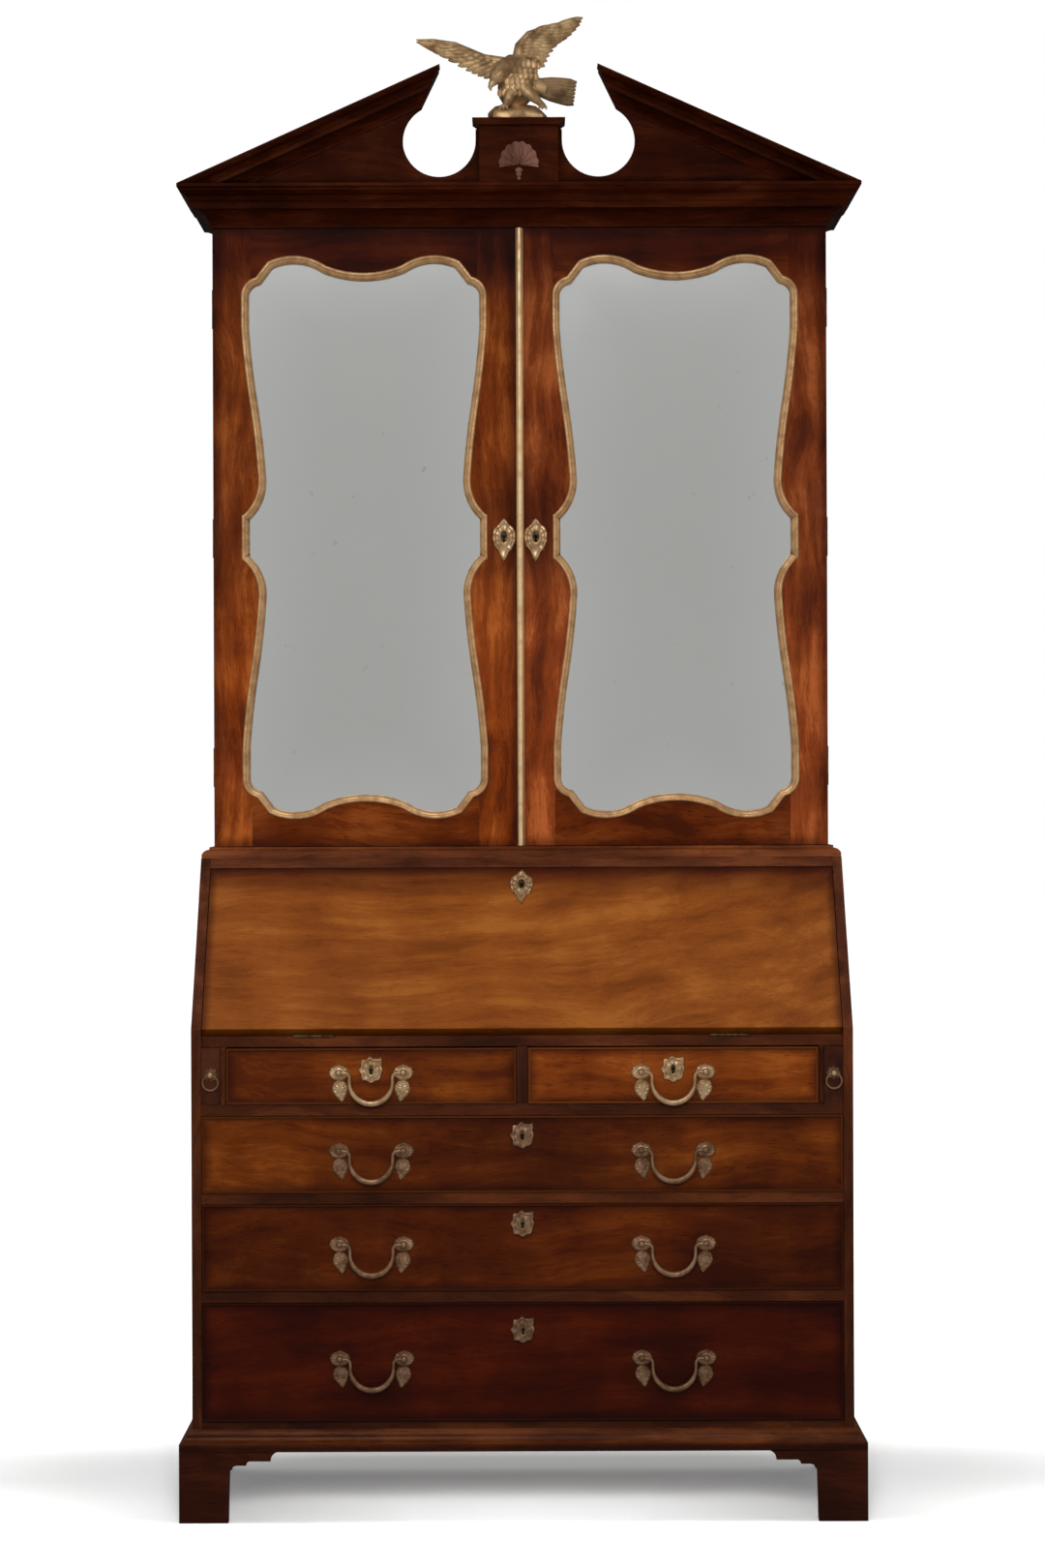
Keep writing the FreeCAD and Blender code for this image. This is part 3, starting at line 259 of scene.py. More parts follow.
@functools.cache
def timber_grain() -> NodeTree:
    """Streaks, fibres and clouded figure of a polished board.

    Returns:
        A group with Colour, Roughness and Height outputs.
    """
    tree = EffectGroup(
        "timber_grain",
        {"Stretch": (1.0, 1.0, 1.0), "Seed": 0.0, "Sweep": 0.0, "Mottle": 0.5, "Dark": WHITE,
         "Middle": WHITE, "Light": WHITE},
        {"Colour": "Color", "Roughness": "Float", "Height": "Float"})
    ask, seed = tree.ask, tree.ask["Seed"]
    sweep_start, waviness = -0.12, (0.09, 0.09, 0.09)
    streak_share, fibre_share, pore_share = 0.86, 0.30, 0.13
    to_middle, to_light, pore_edge = (0.37, 0.57), (0.55, 0.78), (0.58, 0.74)
    smoothest, fibre_roughness, streak_height = 0.24, 0.22, 0.4
    x, y, z = tree.axes(tree.place())
    run = (x - sweep_start).op("MAXIMUM", 0.0)
    swept = tree.vector(x, y, z - run * run * ask["Sweep"])
    moved = swept + tree.vector(seed, seed * 1.7, seed * 0.6)
    bend = tree.out("TexNoise", {"Vector": moved, "Scale": 3.2, "Detail": 2.0}, "Color")
    waved = moved + (bend - (0.5, 0.5, 0.5)) * waviness
    stretched = waved * ask["Stretch"]
    streak = tree.cloud(stretched, scale=1.0, detail=5.0, roughness=0.62)
    fibre = tree.cloud(stretched, scale=9.0, detail=3.0, roughness=0.7)
    figure = tree.cloud(moved, scale=7.5, detail=3.0)
    pores = tree.ramp(tree.cloud(stretched, scale=21.0, detail=1.0), *pore_edge)
    tone = streak * streak_share + fibre * fibre_share - pores * pore_share
    tone = tone + (figure - 0.5) * ask["Mottle"]
    colour = tree.blend(tree.ramp(tone, *to_middle), ask["Dark"], ask["Middle"])
    colour = tree.blend(tree.ramp(tone, *to_light), colour, ask["Light"])
    rough = fibre * fibre_roughness + smoothest
    return tree.give(Colour=colour, Roughness=rough, Height=fibre + streak * streak_height)


@functools.cache
def age_patches() -> NodeTree:
    """Patches where a surface has been rubbed, tarnished or left uncleaned.

    Returns:
        A group with a Mask output from 0 to 1.
    """
    tree = EffectGroup(
        "age_patches", {"Seed": 0.0, "Scale": 20.0, "Low": 0.45, "High": 0.65}, {"Mask": "Float"})
    ask, seed = tree.ask, tree.ask["Seed"]
    point = tree.place() + tree.vector(seed, 0.0, seed)
    patches = tree.cloud(point, ask["Scale"], detail=6.0, roughness=0.62)
    return tree.give(Mask=tree.ramp(patches, ask["Low"], ask["High"]))


@functools.cache
def edge_band() -> NodeTree:
    """Band along the four edges of an upright board.

    Returns:
        A group with a Mask output, 1 at the edges and 0 inside.
    """
    tree = EffectGroup(
        "edge_band", {"Low": (0.0, 0.0, 0.0), "High": (1.0, 1.0, 1.0), "Width": 0.01}, {"Mask": "Float"})
    from_low = tree.axes(tree.place() - tree.ask["Low"])
    from_high = tree.axes(tree.ask["High"] - tree.place())
    across = from_low[0].op("MINIMUM", from_high[0])
    upright = from_low[2].op("MINIMUM", from_high[2])
    return tree.give(Mask=1.0 - tree.ramp(across.op("MINIMUM", upright), 0.0, tree.ask["Width"]))


@functools.cache
def darker_patch() -> NodeTree:
    """Place on the front of a board that is darker than the rest.

    Returns:
        A group with a Mask output, 1 in the middle of the place and 0 round it.
    """
    tree = EffectGroup(
        "darker_patch", {"Middle": (0.0, 0.0, 0.0), "Reach": (1.0, 1.0, 1.0)}, {"Mask": "Float"})
    away = tree.reach((tree.place() - tree.ask["Middle"]) / tree.ask["Reach"])
    return tree.give(Mask=tree.ramp(away, 1.0, 0.25))


@functools.cache
def cast_skin() -> NodeTree:
    """Skin of cast or gilded work: bright on the clean parts, dull and rough on the old ones.

    Returns:
        A group with Colour, Roughness and Height outputs.
    """
    tree = EffectGroup(
        "cast_skin", {"Seed": 0.0, "Scale": 60.0, "Bright": WHITE, "Dull": WHITE, "Polish": 0.3},
        {"Colour": "Color", "Roughness": "Float", "Height": "Float"})
    dull_edge, dull_roughness = (0.38, 0.66), 0.22
    fine_roughness, fine_height = 0.08, 0.3
    ask, seed = tree.ask, tree.ask["Seed"]
    point = tree.place() + tree.vector(0.0, seed, seed)
    broad = tree.cloud(point, ask["Scale"], detail=5.0, roughness=0.6)
    fine = tree.cloud(point, scale=900.0, detail=3.0)
    dull = tree.ramp(broad, *dull_edge)
    colour = tree.blend(dull, ask["Bright"], ask["Dull"])
    rough = ask["Polish"] + dull * dull_roughness + fine * fine_roughness
    return tree.give(Colour=colour, Roughness=rough, Height=broad + fine * fine_height)


class Surface(ShaderTree):
    """A material with one principled shader."""

    def __init__(self, name: str) -> None:
        """Start the material.

        Args:
            name: Its name.
        """
        self.material = bpy.data.materials.new(name)
        self.material.use_nodes = True
        super().__init__(self.material.node_tree)
        self.shader = self.tree.nodes["Principled BSDF"]

    def paint(
        self, inputs: dict[str, object], height: Signal | None = None, depth: float = 0.0
    ) -> Material:
        """Feed the shader, which finishes the material.

        Args:
            inputs: A value or a signal for each input of the shader.
            height: A height from 0 to 1 that stirs the surface's normal.
            depth: How deep that relief is.

        Returns:
            The material.
        """
        if height is not None:
            settings = {"Height": height, "Strength": BUMP_STRENGTH, "Distance": depth}
            inputs["Normal"] = self.out("Bump", settings)
        for label, value in inputs.items():
            self.feed(self.shader.inputs[label], value)
        return self.material


@dataclass(frozen=True)
class Timber:
    """A timber: three colours of its grain, its figure and its polish."""

    dark: Colour
    middle: Colour
    light: Colour
    mottle: float = 0.5
    polish: float = 0.04
    shine: float = 0.09

    def toned(self, *tone: float) -> Timber:
        """Tone the timber lighter, darker or redder.

        Args:
            tone: Scales of the red, green and blue of its colours.

        Returns:
            The same timber in the new tone.
        """
        grains = (self.dark, self.middle, self.light)
        scaled = [tuple(scale * part for scale, part in zip(tone, grain)) for grain in grains]
        return Timber(*scaled, self.mottle, self.polish, self.shine)

    def laid(self, tree: ShaderTree, grain: Grain, seed: float, sweep: float = 0.0) -> dict[str, Signal]:
        """Lay this timber's grain in a material.

        Args:
            tree: The material's nodes.
            grain: The way the fibres run.
            seed: Shift of the figure.
            sweep: How much the grain rises towards the right.

        Returns:
            Its colour, roughness and height, by name.
        """
        return tree.use(timber_grain(), {
            "Stretch": grain.value, "Seed": seed, "Sweep": sweep, "Mottle": self.mottle,
            "Dark": self.dark, "Middle": self.middle, "Light": self.light})


class Timbers(Enum):
    """The timbers of the cabinet."""

    OAK = Timber((0.13, 0.07, 0.032), (0.23, 0.14, 0.07), (0.34, 0.23, 0.13), 0.3, 0.02)
    FALL = Timber((0.118, 0.027, 0.0020), (0.174, 0.044, 0.0036), (0.240, 0.074, 0.009), 0.6)
    DOOR = Timber(
        (0.050, 0.0083, 0.0012), (0.112, 0.0205, 0.0025), (0.222, 0.055, 0.0090), 0.70, 0.015, 0.04)
    RED_DOOR = DOOR.toned(1.06, 1.10, 1.7)
    RAIL = DOOR.toned(0.76, 0.70, 0.68)
    DRAWER = Timber((0.070, 0.011, 0.0010), (0.128, 0.025, 0.0020), (0.225, 0.055, 0.006), 0.7)
    PALE_DRAWER = DRAWER.toned(1.45, 1.55, 1.80)
    # Painted shade: darker copies of the drawer timber for the lower drawers, as the light falls off
    # towards the floor.
    MIDDLE_DRAWER = DRAWER.toned(0.62, 0.50, 0.45)
    LOW_DRAWER = DRAWER.toned(0.41, 0.19, 0.15)
    CASE = Timber((0.028, 0.006, 0.0018), (0.060, 0.014, 0.0040), (0.115, 0.029, 0.008), 0.6)
    MOULDING = CASE.toned(1.40, 1.45, 1.30)
    FOOT = CASE.toned(0.68, 0.52, 0.48)
    LOPER = CASE.toned(0.58, 0.60, 0.80)
    CROWN = Timber(
        (0.012, 0.0018, 0.0004), (0.026, 0.0042, 0.0009), (0.052, 0.010, 0.0025), 0.6, 0.0, 0.015)
    CARVING = Timber((0.09, 0.035, 0.022), (0.17, 0.075, 0.05), (0.26, 0.13, 0.095), 0.5)


@dataclass(frozen=True)
class CastMetal:
    """Cast brass or gilded carving."""

    name: str
    bright: Colour
    dull: Colour
    polish: float = 0.28
    scale: float = 60.0
    metal: float = 1.0
    depth: float = 0.4 * MM

    def laid(self, tree: ShaderTree, seed: float) -> dict[str, Signal]:
        """Lay this metal's skin in a material.

        Args:
            tree: The material's nodes.
            seed: Shift of the dull parts.

        Returns:
            Its colour, roughness and height, by name.
        """
        return tree.use(cast_skin(), {
            "Seed": seed, "Scale": self.scale, "Bright": self.bright, "Dull": self.dull,
            "Polish": self.polish})

    def material(self, seed: float) -> Material:
        """Build the material of a piece that is all of this metal.

        Args:
            seed: Shift of the dull parts.

        Returns:
            The material.
        """
        surface = Surface(f"{self.name}_{seed:g}")
        skin = self.laid(surface, seed)
        inputs = {"Base Color": skin["Colour"], "Roughness": skin["Roughness"], "Metallic": self.metal}
        return surface.paint(inputs, skin["Height"], self.depth)


BRASS = CastMetal("lacquered_brass", (0.78, 0.52, 0.29), (0.51, 0.31, 0.15))
# Painted shade: darker brass for the long drawers, lower down the chest.
SHADED_BRASS = CastMetal("tarnished_brass", (0.48, 0.28, 0.165), (0.26, 0.14, 0.07), 0.36)
# Darker still: the loper rings and rosettes, and, as painted shade, the lowest drawer's brasses.
DARK_BRASS = CastMetal("darkened_brass", (0.38, 0.22, 0.13), (0.20, 0.105, 0.052), 0.36)
HINGE_BRASS = CastMetal("unpolished_brass", (0.25, 0.17, 0.08), (0.11, 0.065, 0.03), 0.5)
GILDING = CastMetal("rubbed_gilding", (0.70, 0.42, 0.20), (0.48, 0.26, 0.115), 0.34, 45.0, 0.8)
BRIGHT_GILDING = CastMetal("bright_gilding", (0.95, 0.68, 0.36), (0.76, 0.48, 0.25), 0.34, 45.0, 0.8)
EAGLE_GILDING = CastMetal("old_gilding", (0.62, 0.40, 0.20), (0.25, 0.145, 0.065), 0.36, 32.0, 0.8)
# Painted shade: darker gilding for the eagle's tail.
SHADED_TAIL_GILDING = CastMetal("worn_gilding", (0.22, 0.13, 0.06), (0.09, 0.05, 0.022), 0.42, 32.0, 0.6)
# Dark iron on the shallow floor of each keyhole: the lock's iron, with the painted shade of a deep hole.
KEYHOLE_SHADE_IRON = CastMetal("dark_iron", (0.02, 0.018, 0.016), (0.008, 0.006, 0.005), 0.5)


@dataclass(frozen=True)
class WearAndShade:
    """What age and use do to a board's colour, the light and shade painted on it, and how blurred the
    joints between timbers are.
    """

    grime_scale: float = 5.0
    grime_share: float = 0.22
    # Painted light on a door frame's lower part, and the share of its height below which it is strongest.
    painted_lower_light: Colour = (1.4, 1.38, 1.3)
    painted_light_level: float = 0.15
    patch_darkening: Colour = (0.46, 0.38, 0.36)
    # Painted shade across one end of a board: the tops of the doors and the fall, and the foot of the base
    # moulding.
    painted_shade: Colour = (0.38, 0.25, 0.18)
    edge_darkening: Colour = (0.42, 0.34, 0.30)
    bead_share: float = 0.30
    bead_edge: float = 0.3 * MM
    seam: Colour = (0.012, 0.008, 0.006)
    seam_half: Flat = (0.006, 0.018)
    seam_depth: float = 3.0
    rail_joint: float = 0.4 * MM
    oak_joint: float = 0.2 * MM
    oak_dulness: float = 0.25
    brass_joint: Flat = (0.3 * MM, 0.1 * MM)
    coat_roughness: float = 0.16
    pore_depth: float = 0.25 * MM


@dataclass(frozen=True)
class BoardFinish:
    """Polished timber of one piece, what its making, use and age have done to it, and the light and shade
    painted on it.

    Attributes:
        timber: The timber.
        grain: The way its fibres run.
        seed: Shifts the figure, so that no two boards match.
        sweep: How much the grain rises towards the right.
        oak_behind: Y behind which the piece is plain oak.
        brass_before: Y in front of which the piece is brass.
        plank: Width of the planks that a wide board is joined from.
        arris: Width of the softened edges.
        band: Width of the darker band along the edges.
        bead_before: Y in front of which a dark bead stands.
        rails: Lowest and highest X of a frame's rails, and Z below and above which they lie; these also
            place the painted light low on the frame.
        shade_span: Z where the painted shade starts, and Z where it is darkest.
        dark_patch: Middle and reach of a darker patch.
        wear_and_shade: What age and use have done, and the painted light and shade.
    """

    timber: Timbers
    grain: Grain
    seed: float
    sweep: float = 0.0
    oak_behind: float | None = None
    brass_before: float | None = None
    plank: float = 0.0
    arris: float = ARRIS
    band: float = 0.0
    bead_before: float | None = None
    rails: tuple[float, float, float, float] | None = None
    shade_span: Flat | None = None
    dark_patch: tuple[Vector, Vector] | None = None
    wear_and_shade: WearAndShade = WearAndShade()

    def dress(self, node: str) -> None:
        """Give a CAD node this finish."""
        dress_node(node, self.material(node + "_timber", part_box(node)), self.arris)

    def material(self, name: str, box: Box | None = None) -> Material:
        """Build the material, with every part of it placed by the surface's own position.

        Args:
            name: The material's name.
            box: Lowest and highest corner of the piece, for the band along its edges.

        Returns:
            The material.
        """
        surface = Surface(name)
        timber, wear_and_shade = self.timber.value, self.wear_and_shade
        wood = timber.laid(surface, self.grain, self.seed, self.sweep)
        rough, height, metal = wood["Roughness"], wood["Height"], 0.0
        x, y, z = surface.axes(surface.place())
        colour = self._aged_and_shaded(surface, wood["Colour"], x, z, box)
        if self.bead_before is not None:
            bead = surface.ramp(y, self.bead_before, self.bead_before - wear_and_shade.bead_edge)
            colour = surface.blend(bead, colour, tuple(wear_and_shade.bead_share * part for part in timber.light))
        if self.plank:
            share = (x / self.plank).op("FRACT")
            whole = surface.ramp((share - 0.5).op("ABSOLUTE"), *wear_and_shade.seam_half)
            colour = surface.blend(whole, wear_and_shade.seam, colour)
            height = height + whole * wear_and_shade.seam_depth
        if self.oak_behind is not None:
            plain = Timbers.OAK.value.laid(surface, Grain.ALONG_Y, seed=self.seed + 3.0)
            inside = surface.ramp(
                y, self.oak_behind - wear_and_shade.oak_joint, self.oak_behind + wear_and_shade.oak_joint)
            colour = surface.blend(inside, colour, plain["Colour"])
            rough = surface.between(inside, rough, plain["Roughness"] + wear_and_shade.oak_dulness)
        if self.brass_before is not None:
            skin = BRASS.laid(surface, self.seed)
            wooden = surface.ramp(y, *(self.brass_before - joint for joint in wear_and_shade.brass_joint))
            colour = surface.blend(wooden, skin["Colour"], colour)
            rough = surface.between(wooden, skin["Roughness"], rough)
            metal = 1.0 - wooden
        inputs = {
            "Base Color": colour, "Roughness": rough, "Metallic": metal, "Coat Weight": timber.polish,
            "Coat Roughness": wear_and_shade.coat_roughness, "Specular IOR Level": timber.shine}
        return surface.paint(inputs, height, wear_and_shade.pore_depth)

    def _aged_and_shaded(self, surface: Surface, colour: Signal, x: Signal, z: Signal, box: Box | None) -> Signal:
        """Lay grime, painted light, cross-grain rails, a darker patch, painted shade and a darker edge band
        over the timber's own colour.

        Args:
            surface: The material's nodes.
            colour: The timber's own colour.
            x: Place across the piece.
            z: Place up the piece.
            box: Lowest and highest corner of the piece.

        Returns:
            The colour of the old timber, with its painted light and shade.
        """
        wear_and_shade = self.wear_and_shade
        grime = surface.use(age_patches(), {"Seed": self.seed, "Scale": wear_and_shade.grime_scale})["Mask"]
        colour = surface.blend(grime * wear_and_shade.grime_share, colour, colour, "MULTIPLY")
        if self.rails:
            left, right, low, high = self.rails
            blur = wear_and_shade.rail_joint
            # Painted light: the frame grows lighter from half way down towards the bottom rail.
            painted_light = surface.ramp(z, (low + high) / 2, low + wear_and_shade.painted_light_level * (high - low))
            colour = surface.blend(painted_light, colour, wear_and_shade.painted_lower_light, "MULTIPLY")
            cross = Timbers.RAIL.value.laid(surface, Grain.ALONG_X, seed=self.seed + 1.7)["Colour"]
            within = surface.ramp(x, left, left + blur) * surface.ramp(x, right + blur, right)
            beyond = surface.ramp(z, low, low - blur) + surface.ramp(z, high, high + blur)
            colour = surface.blend(within * beyond, colour, cross)
        # A darker patch round a given middle.
        if self.dark_patch:
            middle, reach = (tuple(part) for part in self.dark_patch)
            spot = surface.use(darker_patch(), {"Middle": middle, "Reach": reach})["Mask"]
            colour = surface.blend(spot, colour, wear_and_shade.patch_darkening, "MULTIPLY")
        # Painted shade: darker towards the top of the doors and the fall, and towards the foot of the base
        # moulding.
        if self.shade_span:
            colour = surface.blend(surface.ramp(z, *self.shade_span), colour, wear_and_shade.painted_shade, "MULTIPLY")
        # A darker band along the board's four edges.
        if self.band and box:
            low, high = (tuple(corner) for corner in box)
            edges = surface.use(edge_band(), {"Low": low, "High": high, "Width": self.band})["Mask"]
            colour = surface.blend(edges, colour, wear_and_shade.edge_darkening, "MULTIPLY")
        return colour


@dataclass(frozen=True)
class OldMirror:
    """Silvered glass that has greyed and freckled with age, with a painted reflection that lightens its
    rim.
    """

    silver: Colour = (0.89, 0.90, 0.86)
    freckle: Colour = (0.42, 0.40, 0.36)
    # Painted reflection: the paler colour towards the plate's edges, and how wide and strong it is.
    clear: Colour = (0.98, 0.99, 0.97)
    rim_reflection_band: float = 0.17
    rim_reflection_share: float = 0.85
    haze_share: float = 0.10
    freckle_share: float = 0.5
    polish: float = 0.10
    haze_dulness: float = 0.06

    def material(self, seed: float, box: Box) -> Material:
        """Material of one mirror plate.

        Args:
            seed: Shifts the haze and the freckles.
            box: Lowest and highest corner of the plate.

        Returns:
            The material.
        """
        surface = Surface(f"old_mirror_{seed:g}")
        freckles = {"Seed": seed, "Scale": 34.0, "Low": 0.66, "High": 0.78}
        greying = {"Seed": seed + 2.0, "Scale": 2.2, "Low": 0.3, "High": 0.8}
        spots, haze = (surface.use(age_patches(), ask)["Mask"] for ask in (freckles, greying))
        low, high = (tuple(corner) for corner in box)
        # Painted reflection: the plate grows paler towards its edges.
        band = surface.use(edge_band(), {"Low": low, "High": high, "Width": self.rim_reflection_band})["Mask"]
        silver = surface.blend(band * self.rim_reflection_share, self.silver, self.clear)
        hazed = surface.blend(haze * self.haze_share, silver, self.freckle)
        colour = surface.blend(spots * self.freckle_share, hazed, self.freckle)
        rough = haze * self.haze_dulness + self.polish
        return surface.paint({"Base Color": colour, "Roughness": rough, "Metallic": 1.0})


@dataclass
class Draft:
    """Points and faces gathered for one piece before it becomes an object."""

    points: list[Vector] = field(default_factory=list)
    faces: list[list[int]] = field(default_factory=list)
    finishes: list[int] = field(default_factory=list)

    def _face(self, corners: Sequence[int], finish: int) -> None:
        """Keep one face and the number of its finish."""
        self.faces.append(list(corners))
        self.finishes.append(finish)

    def loft(
        self, rings: Sequence[Sequence[Vector]], finish: int = 0, looped: bool = False,
        last_finish: int | None = None, row_finishes: dict[int, int] | None = None,
    ) -> None:
        """Skin drawn over closed rings that have the same number of points.

        Args:
            rings: The rings, in order.
            finish: Number of the skin's finish.
            looped: Whether the last ring joins the first, instead of both being closed off.
            last_finish: Number of the finish of the face that closes the last ring.
            row_finishes: Number of the finish of each row that differs from the rest.
        """
        base = len(self.points)
        count = len(rings[0])
        for ring in rings:
            self.points.extend(ring)
        for row in range(len(rings) if looped else len(rings) - 1):
            here = base + row * count
            there = base + (row + 1) % len(rings) * count
            skin = (row_finishes or {}).get(row, finish)
            for column in range(count):
                after = (column + 1) % count
                self._face([here + column, here + after, there + after, there + column], skin)
        if not looped:
            last = base + (len(rings) - 1) * count
            self._face(range(base + count - 1, base - 1, -1), finish)
            self._face(range(last, last + count), finish if last_finish is None else last_finish)

    def tube(self, path: Sequence[Vector], radii: Sequence[float], depth: float, sides: int) -> None:
        """Round or oval bar along a path that lies near an upright plane across X.

        Args:
            path: Points of the middle line.
            radii: Half width at each point.
            depth: Front to back thickness as a share of the width.
            sides: Points round the bar.
        """
        rings = []
        for index, centre in enumerate(path):
            ahead = path[min(index + 1, len(path) - 1)] - path[max(index - 1, 0)]
            side = ahead.cross(Vector((0.0, 1.0, 0.0))).normalized()
            fore = depth * side.cross(ahead).normalized()
            turns = [2.0 * math.pi * step / sides for step in range(sides)]
            rings.append([
                centre + radii[index] * (math.cos(turn) * side + math.sin(turn) * fore) for turn in turns])
        self.loft(rings)

    def relief(
        self, place: Place, rows: Sequence[Callable[[float], Flat]], count: int, **finishes: object
    ) -> None:
        """Relief on a face, drawn over rings round one middle.

        Args:
            place: Gives the point for two places on the face and a height above it.
            rows: Gives the radius and the height of each ring in a direction in degrees.
            count: Points round each ring.
            finishes: Finishes of some of the faces, as in a loft.
        """
        rings = []
        for row in rows:
            ring = []
            for step in range(count):
                turn = -90.0 + 360.0 * step / count
                radius, lift = row(turn)
                angle = math.radians(turn)
                ring.append(place(radius * math.cos(angle), radius * math.sin(angle), lift))
            rings.append(ring)
        self.loft(rings, **finishes)

    def slab(self, low: Vector, high: Vector, bevel: float) -> None:
        """Flat plate with chamfered edges on the side of its lowest Y.

        Args:
            low: Lowest corner.
            high: Highest corner.
            bevel: Width of the chamfer.
        """
        rings = []
        for y, inset in ((high.y, 0.0), (low.y + bevel, 0.0), (low.y, bevel)):
            left, right, foot, top = low.x + inset, high.x - inset, low.z + inset, high.z - inset
            corners = ((left, foot), (right, foot), (right, top), (left, top))
            rings.append([Vector((x, y, z)) for x, z in corners])
        self.loft(rings)

    def make(self, name: str, body: str, slot: Slot, finishes: Sequence[Material]) -> Object:
        """Turn the draft into an object that rides on a body.

        Args:
            name: The piece's name.
            body: The body that it moves with.
            slot: The record's slot that its finish belongs to; not used.
            finishes: The materials, by the numbers that the faces hold.

        Returns:
            The new object.
        """
        mesh = bpy.data.meshes.new(name)
        mesh.from_pydata([tuple(point) for point in self.points], [], self.faces)
        for material in finishes:
            mesh.materials.append(material)
        mesh.polygons.foreach_set("material_index", self.finishes)
        work = bmesh.new()
        work.from_mesh(mesh)
        bmesh.ops.remove_doubles(work, verts=work.verts, dist=2.0 * SAME_POINT)
        bmesh.ops.recalc_face_normals(work, faces=work.faces)
        work.to_mesh(mesh)
        work.free()
        mesh.shade_smooth()
        mesh.set_sharp_from_angle(angle=CREASE)
        piece = bpy.data.objects.new(name, mesh)
        bpy.context.scene.collection.objects.link(piece)
        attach(piece, body)
        log.info("%s rides on %s", name, body)
        return piece


def dress_node(name: str, material: Material, arris: float = 0.0) -> None:
    """Give a CAD node its finish and take the sharpness off its edges.

    Args:
        name: The node.
        material: Its material.
        arris: Width of the softened edges, or 0 to leave them.
    """
    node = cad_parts[name]
    node.data.materials.clear()
    node.data.materials.append(material)
    weld = node.modifiers.new("joined_faces", "WELD")
    weld.merge_threshold = SAME_POINT
    if arris:
        soft = node.modifiers.new("soft_edges", "BEVEL")
        soft.width = arris
        soft.segments = 2
        soft.limit_method = "ANGLE"
        soft.angle_limit = ARRIS_ANGLE
        soft.harden_normals = True
    log.info("%s is dressed", name)


def dress_boards(
    names: Sequence[str], timber: Timbers, grain: Grain, seed: float, step: float, **finish: object
) -> None:
    """Give several CAD nodes of one timber their finishes.

    Args:
        names: The nodes.
        timber: Their timber.
        grain: The way its fibres run.
        seed: Shift of the first board's figure.
        step: Shift from each board to the next.
        finish: What else the boards' finishes have.
    """
    for index, name in enumerate(names):
        BoardFinish(timber, grain, seed + step * index, **finish).dress(name)


def front_face(x: float, y: float, z: float) -> Place:
    """Placing function for an upright face that looks forward."""
    return lambda u, h, lift: Vector((x + u, y - lift, z + h))


def radius_at(turn: float, stops: Sequence[Flat]) -> float:
    """Radius of a polar outline between stops.

    Args:
        turn: Direction in degrees, from -90 to 270.
        stops: Direction and radius of each stop, by rising direction.

    Returns:
        The smoothly interpolated radius.
    """
    for (a0, r0), (a1, r1) in zip(stops, stops[1:]):
        if a0 <= turn <= a1:
            share = (turn - a0) / (a1 - a0)
            return r0 + (r1 - r0) * share * share * (3.0 - 2.0 * share)
    return stops[-1][1]


def both_halves(*stops: Flat) -> list[Flat]:
    """Stops of a right half, from straight down to straight up, with the same on the left."""
    return [*stops, *((180.0 - turn, radius) for turn, radius in reversed(stops[:-1]))]


TALL_STOPS = both_halves(
    (-90.0, 43.5), (-85.0, 37.6), (-79.0, 31.0), (-72.0, 27.0), (-64.0, 24.8), (-48.0, 22.4), (-31.0, 20.4),
    (-14.0, 19.2), (0.0, 18.8), (16.0, 19.4), (32.0, 20.6), (48.0, 21.2), (60.0, 21.4), (70.0, 22.6),
    (78.0, 25.6), (84.0, 28.6), (90.0, 31.4))
DRAWER_STOPS = (
    (-90.0, 21.4), (-70.0, 19.0), (-48.0, 21.0), (-22.0, 17.6), (0.0, 19.2), (22.0, 18.0), (38.0, 22.5),
    (48.0, 26.5), (60.0, 21.0), (78.0, 18.6), (96.0, 22.0), (114.0, 18.6), (135.0, 21.4), (158.0, 17.8),
    (180.0, 19.6), (202.0, 17.6), (228.0, 21.2), (250.0, 18.8), (270.0, 21.4))
BOSS_STOPS = both_halves(
    (-90.0, 12.8), (-66.0, 13.2), (-48.0, 14.6), (-24.0, 15.6), (0.0, 16.4), (24.0, 15.4), (48.0, 13.6),
    (66.0, 12.6), (78.0, 12.4), (90.0, 13.4))
LEAF_STOPS = both_halves(
    (-90.0, 21.5), (-80.0, 18.6), (-66.0, 15.2), (-48.0, 13.4), (-24.0, 12.6), (0.0, 12.4), (24.0, 12.0),
    (44.0, 12.6), (66.0, 13.4), (90.0, 14.4))


